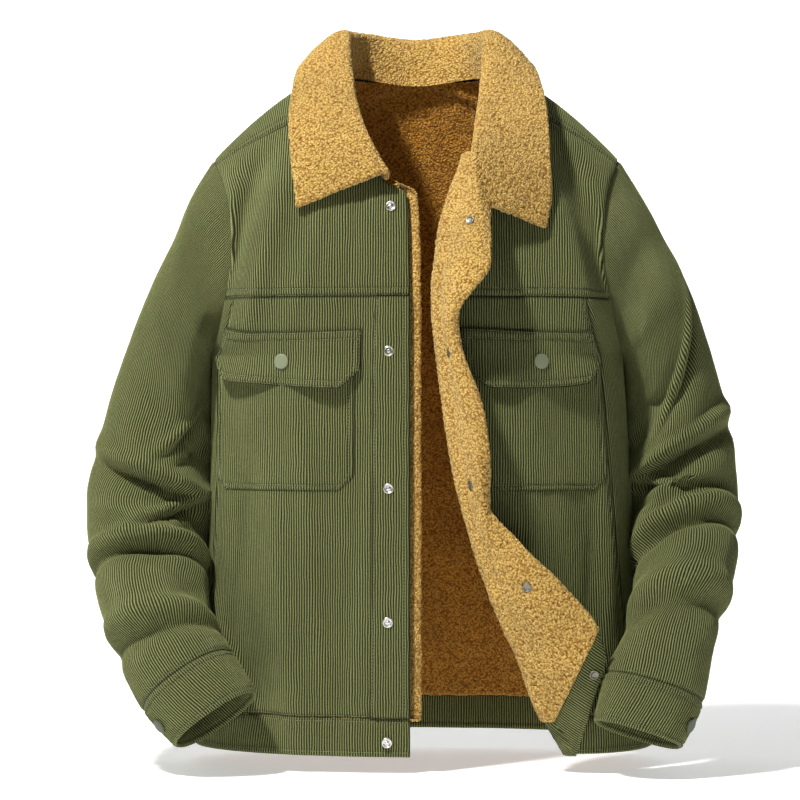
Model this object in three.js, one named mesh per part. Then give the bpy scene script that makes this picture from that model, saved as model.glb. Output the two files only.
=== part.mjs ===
import * as THREE from 'three';
import { mergeVertices } from 'three/examples/jsm/utils/BufferGeometryUtils.js';

// Corduroy jacket with a curly pile lining, size L, filled out, hollow and open at the front.
// Millimetres. +X is the wearer's left, -Y the front, +Z up. The origin is the middle of the neck opening.

const corduroy = 2;          // shell cloth, laid outward from the sewing surface
const pile = 5;              // lining cloth, laid inward from it
const layerGap = 0.9;        // air between two cloths that lie together
const seamGap = 0.2;         // each cloth stops this far from its seam
const section = 2.35;        // squareness of the body's oval
const foldRadius = 9;        // turn of the left front where it is folded back
const collarThickness = 7;

const lay = (inner, outer) => ({ inner, outer });
const shellLay = lay(0, corduroy);
const liningLay = lay(-layerGap - pile, -layerGap);
const bandLay = lay(-corduroy - 1.6, corduroy + 0.4);
const pocketLay = lay(corduroy + 0.3, corduroy + 1.8);
const flapLay = lay(corduroy + 2.2, corduroy + 4.2);

// A short table: the first row names the columns.
function table(names, ...rows) {
  const keys = names.split(' ');
  return rows.map(row => Object.fromEntries(keys.map((key, i) => [key, row[i]])));
}

// A smooth line through one column of a table. It never swings past the values it joins.
function line(rows, at, column) {
  const x = rows.map(row => row[at]), y = rows.map(row => row[column]);
  const rise = x.slice(1).map((v, i) => (y[i + 1] - y[i]) / (v - x[i]));
  const slope = x.map((v, i) => {
    if (i === 0) return rise[0];
    if (i === x.length - 1) return rise[i - 1];
    if (rise[i - 1] * rise[i] <= 0) return 0;
    const before = v - x[i - 1], after = x[i + 1] - v;
    return 3 * (before + after) / ((2 * after + before) / rise[i - 1] + (after + 2 * before) / rise[i]);
  });
  return place => {
    const v = Math.min(Math.max(place, x[0]), x[x.length - 1]);
    let i = 0;
    while (i < x.length - 2 && v > x[i + 1]) i += 1;
    const h = x[i + 1] - x[i], u = (v - x[i]) / h;
    return y[i] * (1 + 2 * u) * (1 - u) ** 2 + slope[i] * h * u * (1 - u) ** 2
      + y[i + 1] * u * u * (3 - 2 * u) + slope[i + 1] * h * u * u * (u - 1);
  };
}

function path(rows, at = 't') {
  const [x, y, z] = ['x', 'y', 'z'].map(column => line(rows, at, column));
  return v => new THREE.Vector3(x(v), y(v), z(v));
}

// t runs up the front from the hem (0) to the top of the shoulder (1) and down the back to the hem (2).
// The inner line of each half: front edge or fold, then neckline, then middle of the back.
const neckAndBack = table('t x y z',
  [1.00, 79, 0, 42], [1.05, 73, 26, 43], [1.11, 48, 50, 41], [1.17, 0, 62, 38], [1.25, 0, 88, -30],
  [1.35, 0, 108, -150], [1.50, 0, 115, -262], [1.65, 0, 116, -380], [1.80, 0, 114, -510],
  [1.94, 0, 112, -632], [2.00, 0, 111, -671]);
const mirrored = rows => rows.map(row => ({ ...row, x: -row.x }));
const innerLine = {
  right: path([...table('t x y z',
    [0.00, -7, -128, -677], [0.06, -7, -129, -637], [0.20, -7, -131, -510], [0.35, -7, -130, -380],
    [0.50, -7, -127, -262], [0.60, -7, -123, -202], [0.70, -8, -113, -140], [0.77, -11, -104, -95],
    [0.82, -32, -98, -83], [0.88, -58, -73, -42], [0.94, -72, -42, 0]), ...mirrored(neckAndBack)]),
  left: path([...table('t x y z',
    [0.00, 164, -106, -676], [0.06, 141, -116, -636], [0.13, 116, -124, -572], [0.20, 89, -128, -510],
    [0.35, 51, -130, -380], [0.50, 34, -127, -262], [0.60, 29, -123, -202], [0.70, 36, -112, -140],
    [0.77, 48, -100, -94], [0.82, 62, -86, -56], [0.88, 69, -64, -22], [0.94, 74, -38, 10]),
    ...neckAndBack]),
};

// The outer line: under the arm down the side, and the armhole loop from the underarm round the front.
const sideLine = {
  right: path(table('t x y z', [0.00, -236, 0, -674], [0.06, -234, 0, -634], [0.20, -224, 0, -510],
    [0.35, -218, 0, -380], [0.50, -216, 0, -262])),
  left: path(table('t x y z', [0.00, 252, 0, -674], [0.06, 248, 0, -634], [0.20, 234, 0, -510],
    [0.35, 226, 0, -380], [0.50, 218, 0, -262])),
};
const armholeRows = table('t x y z',
  [0.50, 216, 0, -262], [0.55, 209, -38, -244], [0.60, 199, -62, -203], [0.70, 192, -72, -150],
  [0.80, 196, -58, -100], [0.88, 204, -38, -74], [0.94, 211, -20, -60], [1.00, 215, 0, -54],
  [1.06, 211, 20, -60], [1.12, 204, 38, -74], [1.20, 195, 58, -102], [1.30, 190, 72, -146],
  [1.35, 190, 73, -172], [1.42, 198, 58, -218], [1.47, 209, 30, -250], [1.50, 216, 0, -262]);
const armholeLine = {
  right: path(mirrored(armholeRows)),
  left: path(armholeRows.map(row => ({ ...row, x: row.x + 2 * Math.abs(row.t - 1) * 2 }))),
};
armholeLine.left = (loop => t => {
  const p = loop(t), low = sideLine.left(0.5);
  if (t === 0.5 || t === 1.5) p.copy(low);
  return p;
})(armholeLine.left);

function outerLine(side, t) {
  if (t < 0.5) return sideLine[side](t);
  if (t > 1.5) return sideLine[side](2 - t);
  return armholeLine[side](t);
}

// Free edge of the left front where it lies folded back over itself.
const freeEdge = path(table('t x y z',
  [0.00, 193, -160, -570], [0.06, 182, -168, -541], [0.13, 146, -170, -498], [0.20, 103, -164, -456],
  [0.275, 68, -160, -411], [0.35, 70, -172, -362], [0.425, 64, -174, -317], [0.50, 44, -164, -268],
  [0.55, 38, -160, -240], [0.60, 41, -165, -217], [0.65, 55, -170, -196], [0.70, 71, -166, -168],
  [0.77, 70, -150, -134], [0.82, 64, -132, -105]));

// Soft folds of the body cloth: a trough or ridge along a line in the front view.
const bodyFolds = {
  right: table('x1 z1 x2 z2 width depth',
    [-142, 8, -196, -190, 20, -15], [-122, -10, -176, -205, 16, 9],
    [-60, -230, -95, -640, 26, -4], [-150, -430, -128, -640, 24, 6], [-190, -330, -168, -600, 18, -6],
    [-205, -500, -150, -640, 15, -7]),
  left: table('x1 z1 x2 z2 width depth',
    [136, 10, 190, -180, 20, -15], [118, -20, 172, -190, 16, 8],
    [110, -440, 150, -640, 20, 6], [150, -330, 172, -560, 22, -6], [205, -300, 200, -600, 16, 5]),
  back: table('x1 z1 x2 z2 width depth',
    [-70, -180, -96, -620, 24, 5], [60, -200, 84, -600, 24, 5], [-150, -160, -170, -420, 22, -7],
    [150, -160, 168, -430, 22, -7], [-10, -330, 14, -640, 26, -5]),
};
function foldDepth(folds, x, z) {
  let depth = 0;
  for (const fold of folds) {
    const dx = fold.x2 - fold.x1, dz = fold.z2 - fold.z1, run = Math.hypot(dx, dz);
    const along = ((x - fold.x1) * dx + (z - fold.z1) * dz) / run;
    const off = ((x - fold.x1) * dz - (z - fold.z1) * dx) / run;
    const past = Math.max(0, -along, along - run);
    depth += fold.depth * Math.exp(-((off / fold.width) ** 2) - (past / 45) ** 2);
  }
  return depth;
}

const smooth = v => { const u = Math.min(Math.max(v, 0), 1); return u * u * (3 - 2 * u); };
const across = s => Math.sin(Math.PI * s / 2) ** (2 / section);
const round = s => Math.cos(Math.PI * s / 2) ** (2 / section);

// The sewing surface of the body. s runs from the inner line (0) to the outer line (1);
// below 0 it is the pile's free edge on the right and the folded back front on the left.
function body(side, t, s) {
  const a = innerLine[side](t), b = outerLine(side, t);
  if (s < 0 && t < 1) {
    if (side === 'right') return a.clone().add(new THREE.Vector3(-s * 100, 0, 0));
    const turn = Math.min(-s / 0.3, 1) * Math.PI;
    const p = a.clone().add(new THREE.Vector3(-foldRadius * Math.sin(turn), -foldRadius * (1 - Math.cos(turn)), 0));
    if (s > -0.3) return p;
    const u = (-s - 0.3) / 0.7;
    const out = freeEdge(t).sub(p);
    return p.addScaledVector(out, u).add(new THREE.Vector3(0, -9 * Math.sin(Math.PI * u), 0));
  }
  const p = new THREE.Vector3(
    THREE.MathUtils.lerp(a.x, b.x, across(s)),
    THREE.MathUtils.lerp(b.y, a.y, round(s)),
    THREE.MathUtils.lerp(a.z, b.z, across(s) ** 1.5));
  const fade = smooth((1 - s) / 0.25) * smooth(s / 0.12) * smooth((Math.abs(t - 1) - 0.06) / 0.12);
  const folds = t < 1 ? bodyFolds[side] : bodyFolds.back;
  p.y += (t < 1 ? -1 : 1) * fade * foldDepth(folds, p.x, p.z);
  return p;
}

// Sleeve: outer and inner line in the front view, middle and half depth of each ring.
const sleeveRings = {
  right: table('v ox oz ix iz y deep',
    [0.00, -215, -54, -216, -262, 0, 73], [0.08, -237, -90, -227, -269, 0, 74], [0.16, -257, -136, -230, -284, 0, 73],
    [0.25, -283, -193, -229, -307, 1, 71], [0.34, -309, -260, -227, -335, 3, 69], [0.43, -330, -325, -225, -366, 4, 67],
    [0.52, -345, -384, -225, -408, 1, 65], [0.61, -350, -437, -226, -450, -10, 62], [0.70, -340, -491, -224, -491, -38, 58],
    [0.79, -322, -545, -217, -524, -80, 54], [0.86, -298, -598, -203, -550, -112, 49], [0.92, -278, -630, -192, -569, -128, 44],
    [1.00, -245, -664, -166, -609, -144, 38]),
  left: table('v ox oz ix iz y deep',
    [0.00, 215, -54, 218, -262, 0, 73], [0.08, 239, -93, 229, -269, 0, 74], [0.16, 263, -136, 233, -282, 0, 73],
    [0.25, 287, -186, 234, -304, 1, 71], [0.34, 306, -239, 234, -332, 3, 69], [0.43, 323, -293, 233, -363, 4, 67],
    [0.52, 336, -349, 234, -396, 1, 65], [0.61, 341, -405, 235, -430, -8, 62], [0.70, 337, -463, 234, -466, -48, 58],
    [0.79, 321, -516, 230, -503, -96, 52], [0.86, 303, -564, 212, -556, -132, 46], [0.92, 290, -619, 193, -589, -148, 41],
    [1.00, 267, -664, 182, -637, -160, 36]),
};
// Elbow and forearm folds. Angle 0 is the outside, 90 the front, 180 the inside of the arm.
const sleeveFolds = {
  right: table('v angle slope width reach depth',
    [0.40, 130, 0.06, 0.06, 65, -7], [0.50, 100, 0.06, 0.045, 70, 5], [0.57, 120, 0.07, 0.045, 70, -11],
    [0.65, 80, 0.07, 0.045, 70, 7], [0.72, 105, 0.07, 0.045, 75, -11], [0.80, 75, 0.05, 0.04, 70, 6],
    [0.62, -90, 0.05, 0.05, 60, -7], [0.10, 80, -0.08, 0.06, 45, -6]),
  left: table('v angle slope width reach depth',
    [0.38, 130, 0.06, 0.05, 60, -9], [0.48, 120, 0.06, 0.045, 65, 5], [0.55, 125, 0.07, 0.045, 65, -11],
    [0.63, 95, 0.07, 0.045, 70, 7], [0.70, 115, 0.07, 0.045, 70, -11], [0.79, 85, 0.05, 0.04, 65, 6],
    [0.62, -90, 0.05, 0.05, 60, -7], [0.10, 80, -0.08, 0.06, 45, -6]),
};
// Where each angle of the sleeve's first ring meets the armhole.
const armholeAngle = line(table('angle t', [-180, 1.5], [-135, 1.44], [-90, 1.31], [-45, 1.16], [0, 1.0],
  [45, 0.84], [90, 0.69], [135, 0.56], [180, 0.5]), 'angle', 't');

const ringLines = {};
for (const [side, rows] of Object.entries(sleeveRings)) {
  ringLines[side] = Object.fromEntries(['ox', 'oz', 'ix', 'iz', 'y', 'deep'].map(c => [c, line(rows, 'v', c)]));
}
function ring(side, v, degrees) {
  const r = ringLines[side], angle = degrees * Math.PI / 180;
  const outer = w => new THREE.Vector3(r.ox(w), r.y(w), r.oz(w));
  const inner = w => new THREE.Vector3(r.ix(w), r.y(w), r.iz(w));
  const middle = w => outer(w).add(inner(w)).multiplyScalar(0.5);
  const half = outer(v).sub(inner(v)).multiplyScalar(0.5);
  const down = middle(Math.min(v + 0.03, 1)).sub(middle(Math.max(v - 0.03, 0)));
  const front = new THREE.Vector3().crossVectors(down, half).normalize();
  if (front.y > 0) front.negate();
  const c = Math.cos(angle), s = Math.sin(angle);
  return middle(v).addScaledVector(half, Math.sign(c) * Math.abs(c) ** 0.9)
    .addScaledVector(front, Math.sign(s) * Math.abs(s) ** 0.9 * r.deep(v));
}
function sleeve(side, v, degrees) {
  const angle = ((degrees + 540) % 360) - 180;
  const p = ring(side, v, angle), middle = ring(side, v, 0).add(ring(side, v, 180)).multiplyScalar(0.5);
  let swell = 0;
  for (const fold of sleeveFolds[side]) {
    const turn = ((angle - fold.angle + 540) % 360) - 180;
    const off = (v - fold.v - fold.slope * turn / 60) / fold.width;
    swell += fold.depth * Math.exp(-off * off - (turn / fold.reach) ** 2);
  }
  swell *= smooth(v / 0.1) * smooth((0.915 - v) / 0.05);
  p.addScaledVector(p.clone().sub(middle).normalize(), swell);
  const join = 1 - smooth(v / 0.14);
  if (join > 0) {
    const seam = armholeLine[side](armholeAngle(angle));
    p.addScaledVector(seam.sub(ring(side, 0, angle)), join);
  }
  return p;
}

// Unit normal of a surface at u, v inside its limits. side +1 or -1 turns it outward.
function normalAt(surface, u, v, limits, sign) {
  const step = 1e-3, keep = (w, low, high) => Math.min(Math.max(w, low + step), high - step);
  const [u0, u1, v0, v1] = limits, a = keep(u, u0, u1), b = keep(v, v0, v1);
  const du = surface(a + step, b).sub(surface(a - step, b));
  const dv = surface(a, b + step).sub(surface(a, b - step));
  return du.cross(dv).normalize().multiplyScalar(sign);
}
const handed = side => (side === 'right' ? 1 : -1);
function bodyNormal(side, t, s) {
  return normalAt((u, v) => body(side, u, v), t, s, [0, 2, s < 0 ? -1 : 0.002, s < 0 ? -1e-4 : 0.998],
    handed(side));
}
const sleeveNormal = (side, v, angle) => {
  const w = Math.min(Math.max(v, 0.002), 0.998), turn = 1;
  const du = sleeve(side, w + 1e-3, angle).sub(sleeve(side, w - 1e-3, angle));
  const dv = sleeve(side, w, angle + turn).sub(sleeve(side, w, angle - turn));
  return du.cross(dv).normalize().multiplyScalar(handed(side));
};
// At the armhole the two cloths share one mitred direction.
function armholeDirection(side, t, angle) {
  const nb = bodyNormal(side, t, 0.985);
  if (t === 0.5 || t === 1.5) nb.add(bodyNormal(side, 2 - t, 0.985)).normalize();
  const ns = sleeveNormal(side, 0.004, angle);
  const dot = Math.max(nb.dot(ns), -0.55);
  return nb.add(ns).divideScalar(1 + dot);
}
const angleOfArmhole = t => {
  let low = -180, high = 180;
  for (let i = 0; i < 40; i += 1) {
    const mid = (low + high) / 2;
    if (armholeAngle(mid) > t) low = mid; else high = mid;
  }
  return (low + high) / 2;
};

// Grid of points and directions of one patch of the body.
function bodyGrid(side, ts, ss) {
  return ts.map(t => ss.map(s => {
    const atArmhole = s === 1 && t >= 0.5 && t <= 1.5;
    return { p: body(side, t, s),
      n: atArmhole ? armholeDirection(side, t, angleOfArmhole(t)) : bodyNormal(side, t, s) };
  }));
}
const steps = (from, to, count) => Array.from({ length: count + 1 }, (v, i) => from + (to - from) * i / count);

// A cloth wall: both faces of the patches and a rim along every free edge.
function wall(name, patches, { inner, outer }, gap = seamGap) {
  const points = [], found = new Map(), faces = [];
  const index = ({ p, n }) => {
    const key = [p.x, p.y, p.z].map(v => Math.round(v * 500)).join();
    if (!found.has(key)) {
      found.set(key, points.length);
      points.push({ p: p.clone(), n: new THREE.Vector3(), count: 0, length: 0, in: [] });
    }
    const at = found.get(key);
    points[at].n.add(n);
    points[at].length += n.length();
    points[at].count += 1;
    return at;
  };
  for (const grid of patches) {
    const ids = grid.map(row => row.map(index));
    for (let i = 0; i + 1 < ids.length; i += 1) {
      for (let j = 0; j + 1 < ids[i].length; j += 1) {
        const quad = [ids[i][j], ids[i][j + 1], ids[i + 1][j + 1], ids[i + 1][j]];
        const loop = quad.filter((id, k) => id !== quad[(k + 1) % 4]);
        if (loop.length > 2) faces.push(loop);
      }
    }
  }
  for (const point of points) point.n.setLength(point.length / point.count);
  const edges = new Map();
  faces.forEach((loop, f) => loop.forEach((a, k) => {
    const b = loop[(k + 1) % loop.length], back = `${b},${a}`;
    if (edges.has(back)) edges.delete(back); else edges.set(`${a},${b}`, { a, b, f });
  }));
  // Pull each free edge back from its seam.
  for (const { a, b, f } of edges.values()) {
    const along = points[b].p.clone().sub(points[a].p).normalize();
    const centre = faces[f].reduce((sum, id) => sum.add(points[id].p), new THREE.Vector3())
      .divideScalar(faces[f].length);
    const into = centre.sub(points[a].p);
    into.addScaledVector(along, -into.dot(along)).normalize();
    points[a].in.push(into);
    points[b].in.push(into);
  }
  const positions = [];
  const moved = points.map(point => {
    if (!point.in.length) return point.p;
    const [m, n] = [point.in[0], point.in[point.in.length - 1]];
    return point.p.clone().addScaledVector(m.clone().add(n), gap / (1 + Math.max(m.dot(n), -0.5)));
  });
  const corner = (id, depth) => moved[id].clone().addScaledVector(points[id].n, depth);
  const triangle = (...three) => three.forEach(v => positions.push(v.x, v.y, v.z));
  for (const loop of faces) {
    for (let k = 1; k + 1 < loop.length; k += 1) {
      triangle(corner(loop[0], outer), corner(loop[k], outer), corner(loop[k + 1], outer));
      triangle(corner(loop[0], inner), corner(loop[k + 1], inner), corner(loop[k], inner));
    }
  }
  for (const { a, b } of edges.values()) {
    triangle(corner(b, outer), corner(a, outer), corner(a, inner));
    triangle(corner(b, outer), corner(a, inner), corner(b, inner));
  }
  return solid(name, positions);
}

// One named closed mesh, its faces turned outward.
function solid(name, positions) {
  let volume = 0;
  for (let i = 0; i < positions.length; i += 9) {
    const [a, b, c] = [0, 3, 6].map(k => new THREE.Vector3(...positions.slice(i + k, i + k + 3)));
    volume += a.dot(b.cross(c));
  }
  if (volume < 0) {
    for (let i = 0; i < positions.length; i += 9) {
      for (let k = 0; k < 3; k += 1) {
        [positions[i + 3 + k], positions[i + 6 + k]] = [positions[i + 6 + k], positions[i + 3 + k]];
      }
    }
  }
  const geometry = new THREE.BufferGeometry();
  geometry.setAttribute('position', new THREE.Float32BufferAttribute(positions, 3));
  const mesh = new THREE.Mesh(mergeVertices(geometry, 1e-4));
  mesh.name = name;
  group.add(mesh);
  return mesh;
}

const group = new THREE.Group();
const bandTop = 0.06, underarm = 0.5, yokeSeam = 0.6, foldTop = 0.82, shoulderSeam = 0.94, backYokeSeam = 1.35;
const panelEdge = { right: 0.80, left: 0.62, back: { right: 0.80, left: 0.81 } };   // s of the side panel's seams

// Rows and columns of the cloth grids. Cloths that meet or lie together share them.
const upTo = (...lists) => lists.flatMap((list, i) => (i ? list.slice(1) : list));
const pocketBottom = 0.322, cornerTop = 0.336, flapBottom = 0.452, flapCurve = 0.466, flapSide = 0.485, flapTop = 0.545;
const sideRows = [bandTop, 0.15, 0.24, pocketBottom, 0.38, flapBottom, underarm];
const frontRows = {
  right: [bandTop, 0.15, 0.24, pocketBottom, cornerTop, 0.38, flapBottom, flapCurve, flapSide, underarm, flapTop,
    yokeSeam],
  left: [bandTop, 0.09, 0.12, 0.15, 0.18, 0.21, 0.24, 0.28, pocketBottom, cornerTop, 0.38, 0.415, flapBottom, flapCurve,
    flapSide, underarm, flapTop, yokeSeam],
};
const yokeRows = [yokeSeam, 0.655, 0.71, 0.765, foldTop];
const neckRows = [foldTop, 0.88, shoulderSeam];
const overRows = [shoulderSeam, 0.97, 1, 1.04, 1.08, 1.125, 1.17, 1.22, 1.28, backYokeSeam];
const backRows = [backYokeSeam, 1.39, 1.43, 1.47, ...sideRows.map(t => 2 - t).reverse()];
const columnsOf = {
  right: [0, 0.0885, 0.1215, 0.138, 0.165, 0.28, 0.40, 0.53, 0.66, 0.755, 0.785, panelEdge.right],
  left: [0, 0.03, 0.13, 0.25, 0.36, 0.47, 0.55, 0.575, 0.60, panelEdge.left],
};
const panelColumns = side => columnsOf[side];
const underColumns = side => (side === 'left' ? [panelEdge.left, 0.715, 0.81, 0.905, 1] : steps(panelEdge.right, 1, 3));
const allColumns = side => upTo(panelColumns(side), underColumns(side));
const yokeColumns = side => allColumns(side).filter(s => ![0.138, 0.785, 0.575, 0.60].includes(s));
const foldedColumns = upTo(steps(-1, -0.3, 3), steps(-0.3, 0, 5));
const backColumns = side => yokeColumns(side).filter(s => s <= panelEdge.back[side]);
const backUnderColumns = side => yokeColumns(side).filter(s => s >= panelEdge.back[side]);
// Both halves of the back as one cloth.
const bothHalves = (rows, columns) => ['right', 'left'].map(side => {
  const grid = bodyGrid(side, rows, columns(side));
  return side === 'right' ? grid : grid.map(row => row.reverse());
});

// Body shell: two fronts with their yokes, side panels under the arms, back and back yoke, hem band.
for (const side of ['right', 'left']) {
  const left = side === 'left';
  wall(`${side}_front`, [bodyGrid(side, frontRows[side], left ? upTo(foldedColumns, panelColumns(side))
    : panelColumns(side))], shellLay);
  const yoke = [bodyGrid(side, upTo(yokeRows, neckRows), yokeColumns(side))];
  if (left) yoke.push(bodyGrid(side, yokeRows, foldedColumns));
  wall(`${side}_front_yoke`, yoke, shellLay);
  wall(`${side}_side_panel`, [bodyGrid(side, [...sideRows, flapTop, yokeSeam], underColumns(side)),
    bodyGrid(side, backRows, backUnderColumns(side))], shellLay);
  wall(`${side}_hem_band`, [bodyGrid(side, steps(0, bandTop, 2), left ? upTo(foldedColumns, allColumns(side))
    : allColumns(side))], bandLay, 0.4);
}
wall('back', bothHalves(backRows, backColumns), shellLay);
wall('back_yoke', bothHalves(overRows, yokeColumns), shellLay);
wall('back_hem_band', bothHalves(steps(2 - bandTop, 2, 2), yokeColumns), bandLay, 0.3);

// Pile lining: the two fronts up to the top of the shoulder, and the whole back.
const shoulderRows = [shoulderSeam, 0.97, 1];
wall('right_front_lining', [
  bodyGrid('right', upTo(frontRows.right, yokeRows), [-0.06, ...yokeColumns('right')]),
  bodyGrid('right', upTo(neckRows, shoulderRows), yokeColumns('right'))], liningLay);
wall('left_front_lining', [bodyGrid('left', upTo(frontRows.left, yokeRows), upTo(foldedColumns, yokeColumns('left'))),
  bodyGrid('left', upTo(neckRows, shoulderRows), yokeColumns('left'))], liningLay);
wall('back_lining', bothHalves(upTo(overRows.slice(2), backRows), yokeColumns), liningLay);

// Sleeves and cuffs.
const cuffSeam = 0.92;
const armholeRowsShared = upTo([underarm, flapTop, yokeSeam], yokeRows, neckRows, overRows,
  backRows.slice(0, backRows.indexOf(2 - underarm) + 1));
const angles = armholeRowsShared.map(angleOfArmhole);
function sleeveGrid(side, vs) {
  return vs.map(v => angles.map(angle => ({ p: sleeve(side, v, angle),
    n: v === 0 ? armholeDirection(side, armholeAngle(angle), angle) : sleeveNormal(side, v, angle) })));
}
for (const side of ['right', 'left']) {
  wall(`${side}_sleeve`, [sleeveGrid(side, [0, 0.03, 0.07, 0.12, 0.18, 0.25, ...steps(0.30, cuffSeam, 13)])],
    shellLay);
  wall(`${side}_cuff`, [sleeveGrid(side, steps(cuffSeam, 1, 3))], lay(-2.2, corduroy + 0.4), 0.3);
}

// Patch pockets with slanted lower corners, their flaps, and the placket strip: each is made from
// the points of the panel it lies on. Every row gives the first and the last column it reaches.
function layOnPanel(name, side, rows, layer) {
  const low = Math.min(...rows.map(row => row.from)), high = Math.max(...rows.map(row => row.to));
  const columns = columnsOf[side].filter(s => s >= low && s <= high);
  const grid = rows.map(({ t, from, to }) => bodyGrid(side, [t],
    columns.map(s => Math.min(Math.max(s, from), to)))[0]);
  return wall(name, [grid], layer, 0);
}
const between = (side, from, to) => frontRows[side].filter(t => t >= from && t <= to);
const pocketSides = {
  right: table('kind from to', ['bottom', 0.165, 0.755], ['side', 0.138, 0.785], ['flap', 0.1215, 0.785],
    ['curve', 0.138, 0.785]),
  left: table('kind from to', ['bottom', 0.03, 0.575], ['side', 0.03, 0.60], ['flap', 0.03, 0.60],
    ['curve', 0.03, 0.60]),
};
for (const side of ['right', 'left']) {
  const limits = Object.fromEntries(pocketSides[side].map(row => [row.kind, row]));
  layOnPanel(`${side}_pocket`, side, between(side, pocketBottom, underarm).map(t => (
    { ...(t === pocketBottom ? limits.bottom : limits.side), t })), pocketLay);
  layOnPanel(`${side}_pocket_flap`, side, between(side, flapBottom, flapTop).map(t => (
    { ...(t === flapBottom ? limits.bottom : t === flapCurve ? limits.curve : limits.flap), t })), flapLay);
}
layOnPanel('placket', 'right', between('right', bandTop, yokeSeam).map(t => ({ t, from: 0, to: 0.0885 })), pocketLay);

// Collar: seam, top of the roll and outer edge, from the right front round the neck to the left front.
const collarRows = table('u nx ny nz rx ry rz ex ey ez reach',
  [0.00, -32, -107, -79, -34, -115, -73, -123, -108, -107, 5], [0.07, -47, -97, -59, -46, -109, -53, -125, -106, -82, 8],
  [0.14, -60, -80, -35, -61, -91, -22, -129, -97, -50, 10], [0.21, -69, -58, -5, -71, -64, 12, -131, -80, -16, 11],
  [0.28, -75, -36, 19, -75, -38, 43, -129, -52, 14, 12], [0.36, -81, -4, 46, -77, 4, 84, -120, 0, 47, 12],
  [0.43, -61, 43, 48, -51, 59, 82, -90, 71, 25, 12], [0.50, 0, 67, 43, 0, 79, 73, 0, 104, 6, 12],
  [0.57, 61, 43, 48, 51, 59, 82, 90, 71, 25, 12], [0.64, 81, -4, 46, 77, 4, 84, 119, 0, 48, 12],
  [0.72, 76, -36, 19, 76, -38, 45, 131, -50, 16, 12], [0.79, 72, -60, -5, 72, -66, 12, 135, -78, -18, 11],
  [0.86, 68, -84, -33, 67, -96, -22, 136, -97, -56, 10], [0.93, 73, -110, -64, 73, -122, -58, 137, -106, -91, 7],
  [1.00, 77, -125, -99, 82, -127, -100, 131, -109.8, -127, 4]);
const collarColumn = Object.fromEntries(Object.keys(collarRows[0]).filter(c => c !== 'u')
  .map(column => [column, line(collarRows, 'u', column)]));
function collar(u, v) {
  const at = letter => new THREE.Vector3(...['x', 'y', 'z'].map(axis => collarColumn[letter + axis](u)));
  const seam = at('n'), top = at('r'), edge = at('e'), reach = collarColumn.reach(u);
  const out = edge.clone().sub(top).setZ(0).normalize();
  if (v < 0.35) {
    const w = v / 0.35, before = top.clone().addScaledVector(out, -reach * 0.7);
    return seam.multiplyScalar((1 - w) ** 2).addScaledVector(before, 2 * w * (1 - w)).addScaledVector(top, w * w);
  }
  const w = (v - 0.35) / 0.65, after = top.clone().addScaledVector(out, reach * 1.35);
  return top.multiplyScalar((1 - w) ** 2).addScaledVector(after, 2 * w * (1 - w)).addScaledVector(edge, w * w);
}
wall('collar', [steps(0, 1, 25).map(u => [0, 0.12, 0.22, 0.30, 0.37, 0.45, 0.56, 0.7, 0.85, 1].map(v => (
  { p: collar(u, v), n: normalAt(collar, u, v, [0, 1, 0, 1], 1) })))],
lay(-collarThickness / 2, collarThickness / 2), 0);

// Snap fasteners: turned discs standing on the cloth.
function disc(name, { p, n }, lift, profile, sides = 10) {
  const turn = new THREE.Quaternion().setFromUnitVectors(new THREE.Vector3(0, 0, 1), n.clone().normalize());
  const positions = [];
  const at = (radius, height, angle) => new THREE.Vector3(radius * Math.cos(angle), radius * Math.sin(angle),
    lift + height).applyQuaternion(turn).add(p);
  const rim = profile.map(({ radius, height }) => Array.from({ length: sides }, (v, k) => (
    at(radius, height, 2 * Math.PI * k / sides))));
  const bottom = at(0, profile[0].height, 0), top = at(0, profile[profile.length - 1].height, 0);
  const triangle = (...three) => three.forEach(v => positions.push(v.x, v.y, v.z));
  for (let k = 0; k < sides; k += 1) {
    const next = (k + 1) % sides;
    triangle(bottom, rim[0][next], rim[0][k]);
    triangle(top, rim[rim.length - 1][k], rim[rim.length - 1][next]);
    for (let i = 0; i + 1 < rim.length; i += 1) {
      triangle(rim[i][k], rim[i][next], rim[i + 1][next]);
      triangle(rim[i][k], rim[i + 1][next], rim[i + 1][k]);
    }
  }
  solid(name, positions);
}
const stud = table('radius height', [5.4, 0], [5.4, 1.2], [4.6, 1.9], [3.4, 1.9], [2.6, 1.3]);
const cap = table('radius height', [7.8, 0], [8, 0.8], [7.2, 1.6], [5, 2.0]);
const flatCap = table('radius height', [6, 0], [6, 0.9], [4.6, 1.6]);
const socket = table('radius height', [5, 0], [5, 1.2]);
const onBody = (side, t, s) => ({ p: body(side, t, s), n: bodyNormal(side, t, s) });
const inward = ({ p, n }) => ({ p, n: n.negate() });
const snaps = table('name t studS studLift socketS capLift socketLift', ['neck', 0.745, 0.04, 1.9, -0.62, 4.2, 5.2],
  ['chest', 0.505, 0.045, 2.9, -0.50, 4.8, 6.4], ['middle', 0.326, 0.045, 3.4, -0.44, 3.0, 6.4],
  ['lower', 0.17, 0.045, 3.5, -0.72, 4.4, 6.4], ['hem', 0.024, 0.045, 2.9, -0.80, 4.2, 4.4]);
for (const { name, t, studS, studLift, socketS, capLift, socketLift } of snaps) {
  disc(`${name}_stud`, onBody('right', t, studS), studLift, stud);
  disc(`${name}_cap`, onBody('left', t, socketS), capLift, flatCap, 8);
  disc(`${name}_socket`, inward(onBody('left', t, socketS)), socketLift, socket, 8);
}
const pocketCaps = table('side t s', ['right', 0.49, 0.39], ['left', 0.49, 0.29]);
for (const { side, t, s } of pocketCaps) disc(`${side}_pocket_cap`, onBody(side, t, s), corduroy + 4.7, cap);
const cuffCaps = table('side v angle', ['right', 0.962, 28], ['left', 0.962, 28]);
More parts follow.
